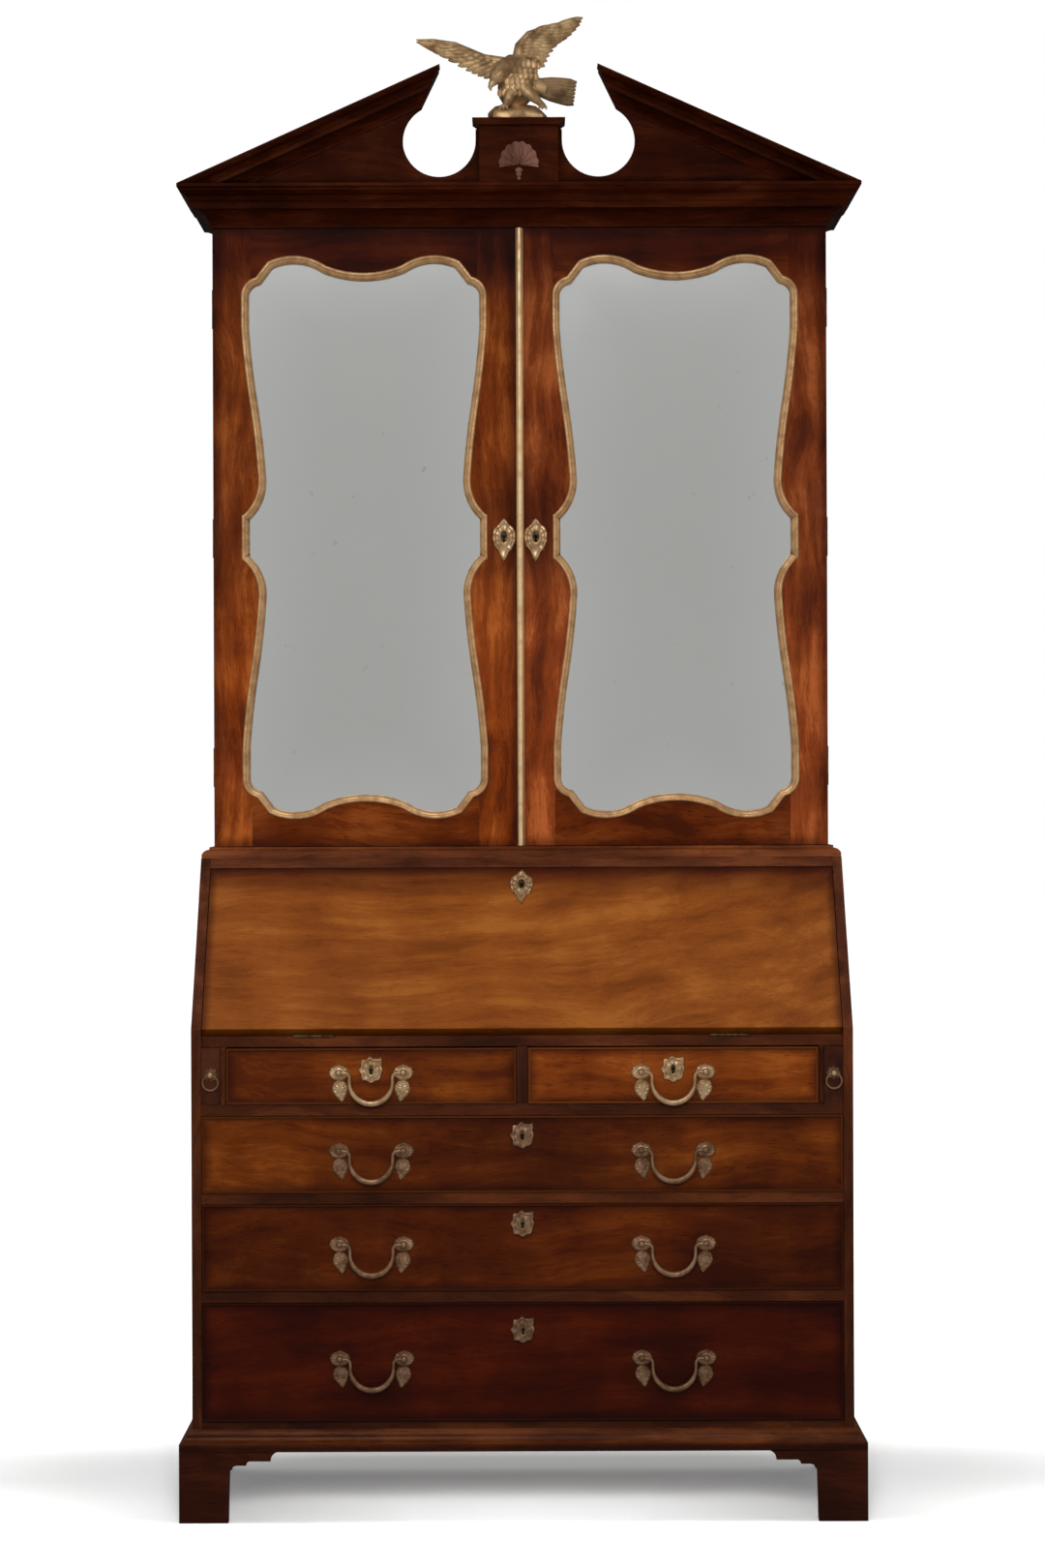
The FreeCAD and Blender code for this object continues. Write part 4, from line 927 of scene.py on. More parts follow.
@dataclass
class KeyPlate:
    """Cast escutcheon with a raised rim round a sunk keyhole. Its stops are in millimetres."""

    stops: Sequence[Flat]
    base: float = 1.9 * MM
    rim: float = 4.0 * MM
    floor: float = 1.7 * MM
    bow: float = 3.0 * MM
    slot_half: float = 1.5 * MM
    slot_reach: float = 8.4 * MM
    dish_half: float = 5.8 * MM
    dish_reach: float = 9.8 * MM
    key_floor: float = 0.15 * MM
    lobes: int = 9
    lobe_lift: float = 0.2
    count: int = 96

    def cast(self, draft: Draft, place: Place) -> None:
        """Add the plate to a draft, with its keyhole in finish 1 and its dish in finish 2; the keyhole's
        dark floor is painted shade for a deep hole.

        Args:
            draft: The draft that takes it.
            place: Placing function of the face that it lies on.
        """
        raised = (
            (0.0, 0.0), (0.0, self.base), (0.10, self.rim), (0.28, 1.08 * self.rim),
            (0.46, 1.25 * self.base), (0.66, 1.35 * self.base), (0.86, 1.05 * self.rim),
            (1.0, 0.9 * self.rim))
        sunk = ((0.08, self.floor), (0.9, self.floor), (1.0, 0.95 * self.floor), (1.0, self.key_floor))
        rows = [functools.partial(self._raised, *level) for level in raised]
        rows += [functools.partial(self._sunk, *level) for level in sunk]
        edge = len(raised) - 1
        dish = {edge: 2, edge + 1: 2, edge + 2: 2, edge + 3: 1}
        draft.relief(place, rows, self.count, last_finish=1, row_finishes=dish)

    def _raised(self, share: float, lift: float, turn: float) -> Flat:
        """Shape the raised part of the plate.

        Args:
            share: Share of the way from the outline to the dish.
            lift: Height there, before the lobes.
            turn: Direction in degrees.

        Returns:
            The radius and the height.
        """
        outer = radius_at(turn, self.stops) * MM
        wave = self.lobe_lift * math.cos(self.lobes * math.radians(turn)) * (0.05 < share < 0.8)
        return outer + (self._dish(turn) - outer) * share, lift * (1.0 + wave)

    def _sunk(self, share: float, lift: float, turn: float) -> Flat:
        """Radius and height at a share of the way from the dish to the keyhole."""
        return self._dish(turn) + (self._keyhole(turn) - self._dish(turn)) * share, lift

    def _dish(self, turn: float) -> float:
        """Radius of the sunk oval round the keyhole in a direction in degrees."""
        angle = math.radians(turn)
        return 1.0 / math.hypot(math.cos(angle) / self.dish_half, math.sin(angle) / self.dish_reach)

    def _keyhole(self, turn: float) -> float:
        """Shape the keyhole: a round bow with a slot below.

        Args:
            turn: Direction in degrees.

        Returns:
            The radius.
        """
        off = abs(math.sin(math.radians(turn + 90.0)))
        down = turn < -30.0 or turn > 210.0
        if down and off < self.slot_half / self.bow:
            return min(self.slot_reach, self.slot_half / max(off, 1e-6))
        return self.bow


@dataclass
class SwanHandle:
    """Two cast plates with ball posts and the bail that swings between them."""

    centre: Vector
    span: float = 51.0 * MM
    reach: float = 13.0 * MM
    ball: float = 5.5 * MM
    half: float = 34.0 * MM
    drop: float = 49.0 * MM
    bend: float = 8.0 * MM
    wire: float = 2.7 * MM
    grip: float = 4.9 * MM
    collar: float = 0.8 * MM
    end_inset: float = 1.0 * MM
    leaf_drop: float = 25.0 * MM
    leaf_lean: float = 1.6 * MM
    leaf_turn: float = 9.0
    shell: Sequence[Flat] = (
        (1.0, 0.0), (1.0, 1.6), (0.92, 3.2), (0.80, 3.9), (0.66, 3.5), (0.5, 4.4), (0.3, 4.8))
    leaf: Sequence[Flat] = (
        (1.0, 0.0), (1.0, 1.3), (0.9, 2.6), (0.76, 2.9), (0.6, 2.2), (0.4, 3.4), (0.2, 3.9))
    stem: Sequence[Flat] = ((7.4, 3.6), (7.4, 5.4), (5.8, 6.0), (4.4, 6.5), (4.0, 7.2), (4.4, 8.0))
    shell_ribs: float = 9.0
    leaf_ribs: float = 5.0
    rib_lift: float = 0.9
    ball_start: float = -50.0
    collar_place: float = 0.55
    collar_width: float = 0.06
    ball_tip: float = 0.05 * MM

    def cast_plates(self, draft: Draft) -> None:
        """Add the two plates and their posts to a draft.

        Args:
            draft: The draft that takes them.
        """
        for inward in (1.0, -1.0):
            place = front_face(self.centre.x - inward * self.span, self.centre.y, self.centre.z)
            self._lobe(draft, place, BOSS_STOPS, self.shell, self.shell_ribs)
            leaf_place = self._leaf_place(place, inward)
            self._lobe(draft, leaf_place, LEAF_STOPS, self.leaf, self.leaf_ribs)
            self._post(draft, place)

    def _leaf_place(self, place: Place, inward: float) -> Place:
        """Placing function of the leaf below a post, which leans towards the bail.

        Args:
            place: Placing function of the drawer's face.
            inward: 1 where the bail lies to the right, or -1.

        Returns:
            The placing function.
        """
        angle = math.radians(inward * self.leaf_turn)

        def leaf_place(u: float, h: float, lift: float) -> Vector:
            """Point of the leaf, turned and moved towards the bail."""
            across = u * math.cos(angle) - h * math.sin(angle) + inward * self.leaf_lean
            return place(across, u * math.sin(angle) + h * math.cos(angle) - self.leaf_drop, lift)

        return leaf_place

    def _lobe(
        self, draft: Draft, place: Place, stops: Sequence[Flat], levels: Sequence[Flat], ribs: float
    ) -> None:
        """Add one raised and ribbed lobe of a plate.

        Args:
            draft: The draft that takes it.
            place: Placing function of the lobe.
            stops: Its outline, in millimetres.
            levels: Share of the radius and height in millimetres of each ring, from the edge inward.
            ribs: Number of ribs cast on each half.
        """
        def row(share: float, lift: float, turn: float) -> Flat:
            """Radius and height of a ring in a direction."""
            rib = self.rib_lift * abs(math.cos(ribs * math.radians(turn))) * (0.35 < share < 0.85)
            return radius_at(turn, stops) * MM * share, (lift + rib) * MM

        draft.relief(place, [functools.partial(row, *level) for level in levels], count=84)

    def _post(self, draft: Draft, place: Place) -> None:
        """Add one turned post with a ball at its end.

        Args:
            draft: The draft that takes it.
            place: Placing function of the plate that it stands on.
        """
        turned = [(radius * MM, lift * MM) for radius, lift in self.stem]
        for step in range(10):
            angle = math.radians(self.ball_start + (90.0 - self.ball_start) * step / 9)
            radius = max(self.ball * math.cos(angle), self.ball_tip)
            turned.append((radius, self.reach + self.ball * math.sin(angle)))
        draft.relief(place, [lambda turn, ring=ring: ring for ring in turned], count=24)

    def cast_bail(self, name: str, material: Material) -> None:
        """Make the bail, which stands for its CAD node.

        Args:
            name: The CAD node and body of the bail.
            material: Its metal.
        """
        bend_x = self.half + self.bend
        base = self.half - self.drop
        side = [(-self.span - self.ball + self.end_inset, 0.0), (-self.span, 0.0),
                (-(bend_x + self.span) / 2, 0.0)]
        for step in range(9):
            angle = math.pi / 2 * step / 8
            side.append((-bend_x + self.bend * math.sin(angle), -self.bend + self.bend * math.cos(angle)))
        side.append((-self.half, (base - self.bend) / 2))
        turns = [math.pi * step / 24 for step in range(25)]
        bow = [(-self.half * math.cos(turn), base - self.half * math.sin(turn)) for turn in turns]
        path, radii = [], []
        for u, h in side + bow + [(-u, h) for u, h in reversed(side)]:
            low = max(0.0, (base - h) / self.half)
            swell = low * low * (3.0 - 2.0 * low)
            collar = self.collar * math.exp(-((low - self.collar_place) / self.collar_width) ** 2)
            radii.append(self.wire + (self.grip - self.wire) * swell + collar)
            path.append(self.centre + Vector((u, -self.reach, h)))
        draft = Draft()
        draft.tube(path, radii, depth=1.0, sides=18)
        piece = draft.make(name + "_cast", name, Slot.BRASS, [material])
        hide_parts(name)


@dataclass
class DrawerStack:
    """Two short and three long drawers with their handles, escutcheons and locks."""

    timbers: dict[str, Timbers] = field(default_factory=lambda: {
        "short_drawer_left": Timbers.DRAWER, "short_drawer_right": Timbers.PALE_DRAWER,
        # Painted shade: the lower long drawers take darker copies of the drawer timber.
        "long_drawer_upper": Timbers.DRAWER, "long_drawer_middle": Timbers.MIDDLE_DRAWER,
        "long_drawer_low": Timbers.LOW_DRAWER})
    # Painted shade: the brasses grow darker from the short drawers down to the lowest drawer.
    metals: Sequence[CastMetal] = (BRASS, BRASS, SHADED_BRASS, SHADED_BRASS, DARK_BRASS)
    patched_drawer: str = "long_drawer_upper"
    patch_reach: Vector = field(default_factory=lambda: Vector((0.34, 1.0, 0.20)))
    front_board: float = 20.0 * MM
    seed: float = 4.1
    seed_step: float = 1.7
    metal_seed: float = 2.0
    bead: float = 2.5 * MM
    bead_root: float = 0.5 * MM
    dark_edge: float = 22.0 * MM
    bail_rod: float = 2.2 * MM
    lock: Vector = field(default_factory=lambda: Vector((56.0, 9.0, 38.0)) * MM)
    lock_bevel: float = 0.6 * MM
    lock_clear: float = 1.0 * MM

    def build(self) -> None:
        """Dress each drawer and make its brasses."""
        for index, (name, timber) in enumerate(self.timbers.items()):
            low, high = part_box(name)
            face_y = low.y + self.bead
            dark_patch = ((low + high) / 2, self.patch_reach) if name == self.patched_drawer else None
            BoardFinish(
                timber, Grain.ALONG_X, self.seed + self.seed_step * index,
                oak_behind=face_y + self.front_board, band=self.dark_edge,
                bead_before=face_y - self.bead_root, dark_patch=dark_patch).dress(name)
            self._brasses(name, face_y, self.metals[index].material(self.metal_seed + index))

    def _brasses(self, name: str, face_y: float, metal: Material) -> None:
        """Make the plates, posts, escutcheon and lock of one drawer, and its bails.

        Args:
            name: The drawer.
            face_y: Y of the drawer's face.
            metal: The brass.
        """
        draft = Draft()
        for bail in sorted(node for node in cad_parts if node.startswith(name + "_bail")):
            low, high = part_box(bail)
            handle = SwanHandle(Vector(((low.x + high.x) / 2, face_y, high.z - self.bail_rod)))
            handle.cast_plates(draft)
            handle.cast_bail(bail, metal)
        x, z = self._key_place(name, face_y)
        KeyPlate(
            DRAWER_STOPS, floor=0.9 * MM, bow=2.6 * MM, slot_reach=7.0 * MM, dish_half=4.2 * MM,
            dish_reach=7.8 * MM, lobes=7).cast(draft, front_face(x, face_y, z))
        middle = Vector((x, face_y + self.front_board - self.lock.y / 2, z))
        draft.slab(middle - self.lock / 2, middle + self.lock / 2, self.lock_bevel)
        # The iron is the keyhole's dark floor, painted shade for the hole.
        finishes = [metal, KEYHOLE_SHADE_IRON.material(seed=z), HINGE_BRASS.material(seed=z)]
        piece = draft.make(name + "_cast_brasses", name, Slot.BRASS, finishes)
        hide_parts(name + "_brasses")

    def _key_place(self, name: str, face_y: float) -> Flat:
        """Find the middle of the lock behind a drawer's face, which is where its keyhole is.

        Args:
            name: The drawer.
            face_y: Y of the drawer's face.

        Returns:
            X and Z of the keyhole.
        """
        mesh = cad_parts[name + "_brasses"].data
        behind = [vertex.co for vertex in mesh.vertices if vertex.co.y > face_y + self.lock_clear]
        xs, zs = [point.x for point in behind], [point.z for point in behind]
        return (min(xs) + max(xs)) / 2, (min(zs) + max(zs)) / 2


@dataclass
class Carcase:
    """Boards and mouldings of the bureau and of the cabinet on it."""

    plank: float = 168.0 * MM
    front_edge: float = 60.0 * MM
    plain_seed: float = 11.4
    plain_step: float = 0.8
    shade: Flat = (15.0 * MM, 5.0 * MM)
    upright: Sequence[str] = (
        "bureau_side_left", "bureau_side_right", "cabinet_side_left", "cabinet_side_right")
    level: Sequence[str] = ("bureau_top_board", "writing_bed")
    feet: Sequence[str] = ("front_feet", "back_feet")
    plain: Sequence[str] = (
        "bureau_bottom_board", "dustboards", "cabinet_bottom_board", "cabinet_top_board", "cabinet_shelves")
    backs: Sequence[str] = ("bureau_back_boards", "cabinet_back_boards")

    def build(self) -> None:
        """Dress every board of the carcase."""
        dress_boards(self.upright, Timbers.CASE, Grain.ALONG_Z, seed=1.3, step=0.9)
        dress_boards(self.level, Timbers.CASE, Grain.ALONG_X, seed=7.2, step=1.1)
        dress_boards(self.feet, Timbers.FOOT, Grain.ALONG_X, seed=9.1, step=1.3)
        dress_boards(self.backs, Timbers.OAK, Grain.ALONG_Z, seed=15.0, step=1.0, plank=self.plank)
        for index, name in enumerate(self.plain):
            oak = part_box(name)[0].y + self.front_edge
            seed = self.plain_seed + self.plain_step * index
            BoardFinish(Timbers.CASE, Grain.ALONG_X, seed, oak_behind=oak).dress(name)
        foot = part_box("base_moulding")[0].z
        # Painted shade along the foot of the base moulding.
        shade_span = (foot + self.shade[0], foot + self.shade[1])
        BoardFinish(Timbers.MOULDING, Grain.ALONG_X, seed=8.3, shade_span=shade_span).dress("base_moulding")
        BoardFinish(Timbers.MOULDING, Grain.ALONG_X, seed=9.4).dress("waist_moulding")
        BoardFinish(Timbers.LOPER, Grain.ALONG_Z, seed=4.9).dress("drawer_partitions")
        dress_node("hinge_leaves_fixed", HINGE_BRASS.material(seed=9.0))


@dataclass
class WritingInterior:
    """Fall, lopers, nest of pigeonholes and small drawers."""

    key_drop: float = 37.5 * MM
    sweep: float = 0.42
    fall_band: float = 16.0 * MM
    # Painted shade across the top of the fall: where it starts and where it is darkest, below the fall's
    # top.
    fall_shade_span: Flat = (56.0 * MM, 2.0 * MM)
    knob_reach: float = 13.0 * MM
    small_front: float = 7.0 * MM
    post_reach: float = 15.5 * MM
    column_width: float = 9.0 * MM
    column_gap: float = 2.5 * MM
    column_foot: Sequence[Flat] = (
        (4.3, 0.0), (4.3, 3.2), (3.6, 3.9), (4.2, 5.6), (3.0, 6.8), (2.6, 9.4))
    column_waist: float = 3.0
    column_sides: int = 16
    rose_radius: float = 9.6
    rose_lobe: float = 0.9
    rose_lobes: float = 8.0
    rosette: Sequence[Flat] = ((1.0, 0.0), (1.0, 0.9), (0.88, 1.6), (0.7, 1.1), (0.5, 1.9), (0.36, 2.1))

    def build(self) -> None:
        """Dress the writing part, and make the fall's escutcheon and what stands round the lopers."""
        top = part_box("fall_panel")[1].z
        shade_span = (top - self.fall_shade_span[0], top - self.fall_shade_span[1])
        fall = BoardFinish(
            Timbers.FALL, Grain.ALONG_X, seed=3.35, sweep=self.sweep, band=self.fall_band, shade_span=shade_span)
        fall.dress("fall_panel")
        BoardFinish(Timbers.DRAWER, Grain.ALONG_Z, seed=21.0).dress("pigeonhole_nest")
        for index, side in enumerate(Side):
            name = f"small_drawer_{side.value}"
            face_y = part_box(name)[0].y + self.knob_reach
            BoardFinish(
                Timbers.FALL, Grain.ALONG_X, seed=30.0 + 2.0 * index, oak_behind=face_y + self.small_front,
                brass_before=face_y, arris=FINE_ARRIS).dress(name)
            self._loper(side, index)
            self._half_column(side, index)
        self._fall_escutcheon()

    def _loper(self, side: Side, index: int) -> None:
        """Dress one loper and its ring, and add the rosette behind its post.

        Args:
            side: The side that it is on.
            index: Number of the side.
        """
        name, ring = f"loper_{side.value}", f"loper_ring_{side.value}"
        low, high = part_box(name)
        ring_low, ring_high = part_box(ring)
        face_y = low.y + self.post_reach
        seed = 40.0 + index
        BoardFinish(
            Timbers.LOPER, Grain.ALONG_Y, seed, brass_before=face_y, arris=FINE_ARRIS).dress(name)
        wire = (ring_high.y - ring_low.y) / 2

        def row(share: float, lift: float, turn: float) -> Flat:
            """Radius and height of one ring of the rosette in a direction."""
            lobe = self.rose_lobe * math.cos(self.rose_lobes * math.radians(turn))
            return (self.rose_radius + lobe) * MM * share, lift * MM

        draft = Draft()
        rows = [functools.partial(row, *level) for level in self.rosette]
        draft.relief(front_face((low.x + high.x) / 2, face_y, ring_high.z - wire), rows, count=64)
        draft.make(f"{name}_rosette", name, Slot.BRASS, [DARK_BRASS.material(seed=20.0 + index)])
        dress_node(ring, DARK_BRASS.material(seed=24.0 + index))

    def _half_column(self, side: Side, index: int) -> None:
        """Turn the small half column on the front edge of one loper partition.

        Args:
            side: The side that it is on.
            index: Number of the side.
        """
        low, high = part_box("drawer_partitions")
        middle = high.x - self.column_width / 2
        x = middle if side is Side.RIGHT else -middle
        rise = (high.z - low.z - self.column_gap) / MM
        cap = [(radius, rise - level) for radius, level in reversed(self.column_foot)]
        turns = [math.pi * step / self.column_sides for step in range(self.column_sides + 1)]
        place = front_face(x, low.y, low.z)
        rings = []
        for radius, level in (*self.column_foot, (self.column_waist, rise / 2), *cap):
            rings.append([
                place(radius * MM * math.cos(turn), level * MM, radius * MM * math.sin(turn))
                for turn in turns])
        draft = Draft()
        draft.loft(rings)
        finish = BoardFinish(Timbers.CASE, Grain.ALONG_Z, seed=44.0 + index)
        material = finish.material(f"half_column_{side.value}_timber")
        draft.make(f"loper_half_column_{side.value}", "carcase", Slot.MAHOGANY, [material])

    def _fall_escutcheon(self) -> None:
        """Make the escutcheon on the fall's sloping face."""
        points = [vertex.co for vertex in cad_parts["fall_panel"].data.vertices]
        top = max(points, key=lambda point: point.z - point.y)
        foot = min(points, key=lambda point: point.y)
        up = Vector((0.0, top.y - foot.y, top.z - foot.z)).normalized()
        out = Vector((0.0, -up.z, up.y))
        key = Vector((0.0, top.y, top.z)) - up * self.key_drop

        def place(u: float, h: float, lift: float) -> Vector:
            """Point at a place on the fall and a height above it."""
            return key + Vector((u, 0.0, 0.0)) + up * h + out * lift

        draft = Draft()
        KeyPlate(TALL_STOPS).cast(draft, place)
        # The iron is the keyhole's dark floor, painted shade for the hole.
        finishes = [BRASS.material(seed=31.0), KEYHOLE_SHADE_IRON.material(seed=2.0), HINGE_BRASS.material(seed=33.0)]
        draft.make("fall_cast_escutcheon", "fall", Slot.BRASS, finishes)
        dress_node("fall_brasses", HINGE_BRASS.material(seed=32.0))


@dataclass
class MirrorDoors:
    """Two doors with shaped mirrors in gilt slips, and the astragal between them."""

    profile: Sequence[Flat] = (
        (0.0, -9.0), (0.0, 1.2), (0.9, 2.4), (2.4, 3.1), (4.2, 3.1), (5.6, 2.2), (6.4, 0.9), (8.2, 0.4),
        (10.0, -0.7), (11.4, -2.6), (12.4, -4.6), (12.4, -9.0))
    beaded: Flat = (1.5, 5.0)
    bead_pitch: float = 9.0 * MM
    bead_lift: float = 0.55
    bead_sink: float = 0.35
    step: float = 2.2 * MM
    same_plane: float = 0.05 * MM
    plate_back: float = 0.1 * MM
    sharpest_mitre: float = 0.5
    stile: float = 62.0 * MM
    rail: float = 92.0 * MM
    band: float = 24.0 * MM
    # Painted shade of the cornice over each door: it starts this far below the top rail and is darkest this
    # far below the door's top.
    shade_span: Flat = (50.0 * MM, 40.0 * MM)
    seeds: Sequence[float] = (2.15, 8.6)
    timbers: Sequence[Timbers] = (Timbers.DOOR, Timbers.RED_DOOR)
    patch_rise: float = 25.0 * MM
    patch_reach: Vector = field(default_factory=lambda: Vector((0.11, 1.0, 0.14)))

    def build(self) -> None:
        """Dress the doors and make their slips and escutcheons."""
        for index, side in enumerate(Side):
            door = f"{side.value}_door"
            frame_name, mirror = f"{door}_frame", f"{door}_mirror"
            low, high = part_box(frame_name)
            lock = Vector((0.0, low.y, (low.z + high.z) / 2 + self.patch_rise))
            BoardFinish(
                self.timbers[index], Grain.FIGURED_Z, self.seeds[index], band=self.band,
                rails=(low.x + self.stile, high.x - self.stile, low.z + self.rail, high.z - self.rail),
                shade_span=(high.z - self.rail - self.shade_span[0], high.z - self.shade_span[1]),
                dark_patch=(lock, self.patch_reach)).dress(frame_name)
            dress_node(mirror, OldMirror().material(float(index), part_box(mirror)))
            dress_node(f"{door}_brasses", BRASS.material(seed=40.0 + index))
            self._slip(door, index)
            self._escutcheon(door, index)
        dress_node("right_door_astragal", BRIGHT_GILDING.material(seed=50.0))

    def _outer_loop(self, node: str) -> list[Vector]:
        """Outer edge of a CAD node's front face.

        Args:
            node: The CAD node.

        Returns:
            The edge's points, anticlockwise as seen from the front.
        """
        work = bmesh.new()
        work.from_mesh(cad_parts[node].data)
        bmesh.ops.remove_doubles(work, verts=work.verts, dist=SAME_POINT)
        face_y = min(vertex.co.y for vertex in work.verts)
        fronts = {
            face for face in work.faces
            if all(abs(vertex.co.y - face_y) < self.same_plane for vertex in face.verts)}
        steps: dict[int, list[int]] = {}
        for edge in work.edges:
            if sum(face in fronts for face in edge.link_faces) == 1:
                first, second = (vertex.index for vertex in edge.verts)
                steps.setdefault(first, []).append(second)
                steps.setdefault(second, []).append(first)
        work.verts.ensure_lookup_table()
        loops = []
        left = set(steps)
        while left:
            walk, onward = [], [min(left)]
            while onward:
                walk.append(onward[0])
                left.discard(walk[-1])
                onward = [other for other in steps[walk[-1]] if other in left]
            loops.append([work.verts[number].co.copy() for number in walk])
        work.free()
        outer = max(loops, key=lambda loop: max(p.x for p in loop) - min(p.x for p in loop))
        turned = sum(a.x * b.z - b.x * a.z for a, b in zip(outer, outer[1:] + outer[:1]))
        return outer if turned > 0 else outer[::-1]

    def _slip(self, door: str, index: int) -> None:
        """Make one carved and gilded slip round a mirror.

        Args:
            door: The door's body.
            index: Number of the door.
        """
        node = f"{door}_gilt_slip"
        loop = self._outer_loop(node)
        face_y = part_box(f"{door}_frame")[0].y
        dense: list[Vector] = []
        for here, there in zip(loop, loop[1:] + loop[:1]):
            pieces = max(1, round((there - here).length / self.step))
            dense += [here.lerp(there, part / pieces) for part in range(pieces)]
        rings = []
        run = 0.0
        for number, point in enumerate(dense):
            before = (point - dense[number - 1]).normalized()
            after = (dense[(number + 1) % len(dense)] - point).normalized()
            run += (point - dense[number - 1]).length
            inward = Vector((-before.z - after.z, 0.0, before.x + after.x)).normalized()
            square = Vector((-before.z, 0.0, before.x))
            mitre = inward / max(self.sharpest_mitre, inward.dot(square))
            bead = self.bead_lift * abs(math.sin(math.pi * run / self.bead_pitch)) - self.bead_sink
            ring = []
            for across, lift in self.profile:
                raised = lift + bead if self.beaded[0] < across < self.beaded[1] else lift
                spot = point + mitre * (across * MM)
                ring.append(Vector((spot.x, face_y - raised * MM, spot.z)))
            rings.append(ring)
        draft = Draft()
        draft.loft(rings, looped=True)
        piece = draft.make(
            f"{door}_carved_slip", door, Slot.GILDING, [GILDING.material(seed=60.0 + index)])
        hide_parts(node)

    def _escutcheon(self, door: str, index: int) -> None:
        """Make one door's escutcheon over its key bore.

        Args:
            door: The door's body.
            index: Number of the door.
        """
        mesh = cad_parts[f"{door}_brasses"].data
        low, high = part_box(f"{door}_frame")
        plate = [vertex.co.x for vertex in mesh.vertices if vertex.co.y < low.y + self.plate_back]
        draft = Draft()
        place = front_face((min(plate) + max(plate)) / 2, low.y, (low.z + high.z) / 2)
        KeyPlate(TALL_STOPS).cast(draft, place)
        # The iron is the keyhole's dark floor, painted shade for the hole.
        finishes = [
            BRASS.material(seed=70.0 + index), KEYHOLE_SHADE_IRON.material(seed=3.0 + index),
            HINGE_BRASS.material(seed=73.0 + index)]
        draft.make(f"{door}_cast_escutcheon", door, Slot.BRASS, finishes)


@dataclass
class Crown:
    """Cornice, open pediment, and plinth with its carved shell."""

    boards: Sequence[str] = ("cornice", "pediment_board", "raking_cornices", "pediment_plinth")
    arris: float = 0.5 * MM
    shell_half: float = 33.0 * MM
    shell_rise: float = 44.0 * MM
    shell_ribs: int = 9
    shell_lift: float = 6.5 * MM
    shell_foot: float = 29.0 * MM
    shell_rows: int = 13
    shell_columns: int = 91
    shell_start: float = -14.0
    shell_hinge: float = 0.06
    shell_dome: Flat = (0.18, 0.72)
    shell_scallop: float = 0.07
    shell_valley: float = 0.62
    shell_upper: float = 0.9
    shell_lower: float = 0.35
    plinth_foot: float = 1.0 * MM
    husk_shares: Sequence[float] = (0.35, 0.85, 0.9, 0.6, 0.12)
    husks: Sequence[Flat] = ((7.0, -4.0), (5.4, -11.5), (3.8, -19.0))
    husk_length: float = 1.5
    husk_lift: float = 1.5 * MM

    def build(self) -> None:
        """Dress the crown and carve the shell with its pendant husks on the plinth's face."""
        dress_boards(
            self.boards, Timbers.CROWN, Grain.ALONG_X, seed=50.0, step=2.3, arris=self.arris)
        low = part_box("pediment_plinth")[0]
        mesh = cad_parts["pediment_plinth"].data
        face_y = min(vertex.co.y for vertex in mesh.vertices if vertex.co.z < low.z + self.plinth_foot)
        place = front_face(0.0, face_y, low.z + self.shell_foot)
        draft = Draft()
        draft.loft([self._shell_ring(place, row) for row in range(self.shell_rows)])
        for size, top in self.husks:
            drops = [top - self.husk_length * size * part / 4 for part in range(5)]
            path = [place(0.0, drop * MM, self.husk_lift) for drop in drops]
            radii = [part * size * MM for part in self.husk_shares]
            draft.tube(path, radii, depth=0.45, sides=18)
        finish = BoardFinish(Timbers.CARVING, Grain.ALONG_Z, seed=61.0)
        material = finish.material("carved_shell_timber")
        draft.make("plinth_carved_shell", "carcase", Slot.MAHOGANY, [material])

    def _shell_ring(self, place: Place, row: int) -> list[Vector]:
        """One ring of the scallop: its ribbed front, and back along the plinth.

        Args:
            place: Placing function of the plinth's face.
            row: Number of the ring, from the hinge outward.

        Returns:
            The ring's points.
        """
        share = self.shell_hinge + (1.0 - self.shell_hinge) * row / (self.shell_rows - 1)
        start, reach = self.shell_dome
        dome = math.sin(math.pi * (start + reach * share))
        front, behind = [], []
        for step in range(self.shell_columns):
            spread = step / (self.shell_columns - 1)
            turn = math.radians(self.shell_start + (180.0 - 2.0 * self.shell_start) * spread)
            rib = abs(math.cos(math.pi * self.shell_ribs * spread))
            edge = share * (1.0 - self.shell_scallop * (1.0 - rib) * share)
            u = self.shell_half * edge * math.cos(turn)
            squat = self.shell_upper if math.sin(turn) > 0 else self.shell_lower
            h = self.shell_rise * edge * math.sin(turn) * squat
            swell = self.shell_valley + (1.0 - self.shell_valley) * rib
            front.append(place(u, h, self.shell_lift * dome * swell))
            behind.append(place(u, h, 0.0))
        return front + behind[::-1]


@dataclass(frozen=True)
class FeatherRow:
    """One row of overlapping feathers of a wing, in shares of the eagle's height.

    Attributes:
        roots: Line along which the feathers grow.
        tips: Line along which they end.
        count: How many there are.
        width: Half width of each.
        lift: How far the row stands forward.
    """

    roots: Sequence[Flat]
    tips: Sequence[Flat]
    count: int
    width: float
    lift: float

    @staticmethod
    def along(line: Sequence[Flat], share: float) -> Flat:
        """Walk along a line of points.

        Args:
            line: The points.
            share: Share of the way from the first to the last, each step being as long as the next.

        Returns:
            The point there.
        """
        spot = share * (len(line) - 1)
        number = min(int(spot), len(line) - 2)
        part = spot - number
        (x0, z0), (x1, z1) = line[number], line[number + 1]
        return x0 + (x1 - x0) * part, z0 + (z1 - z0) * part


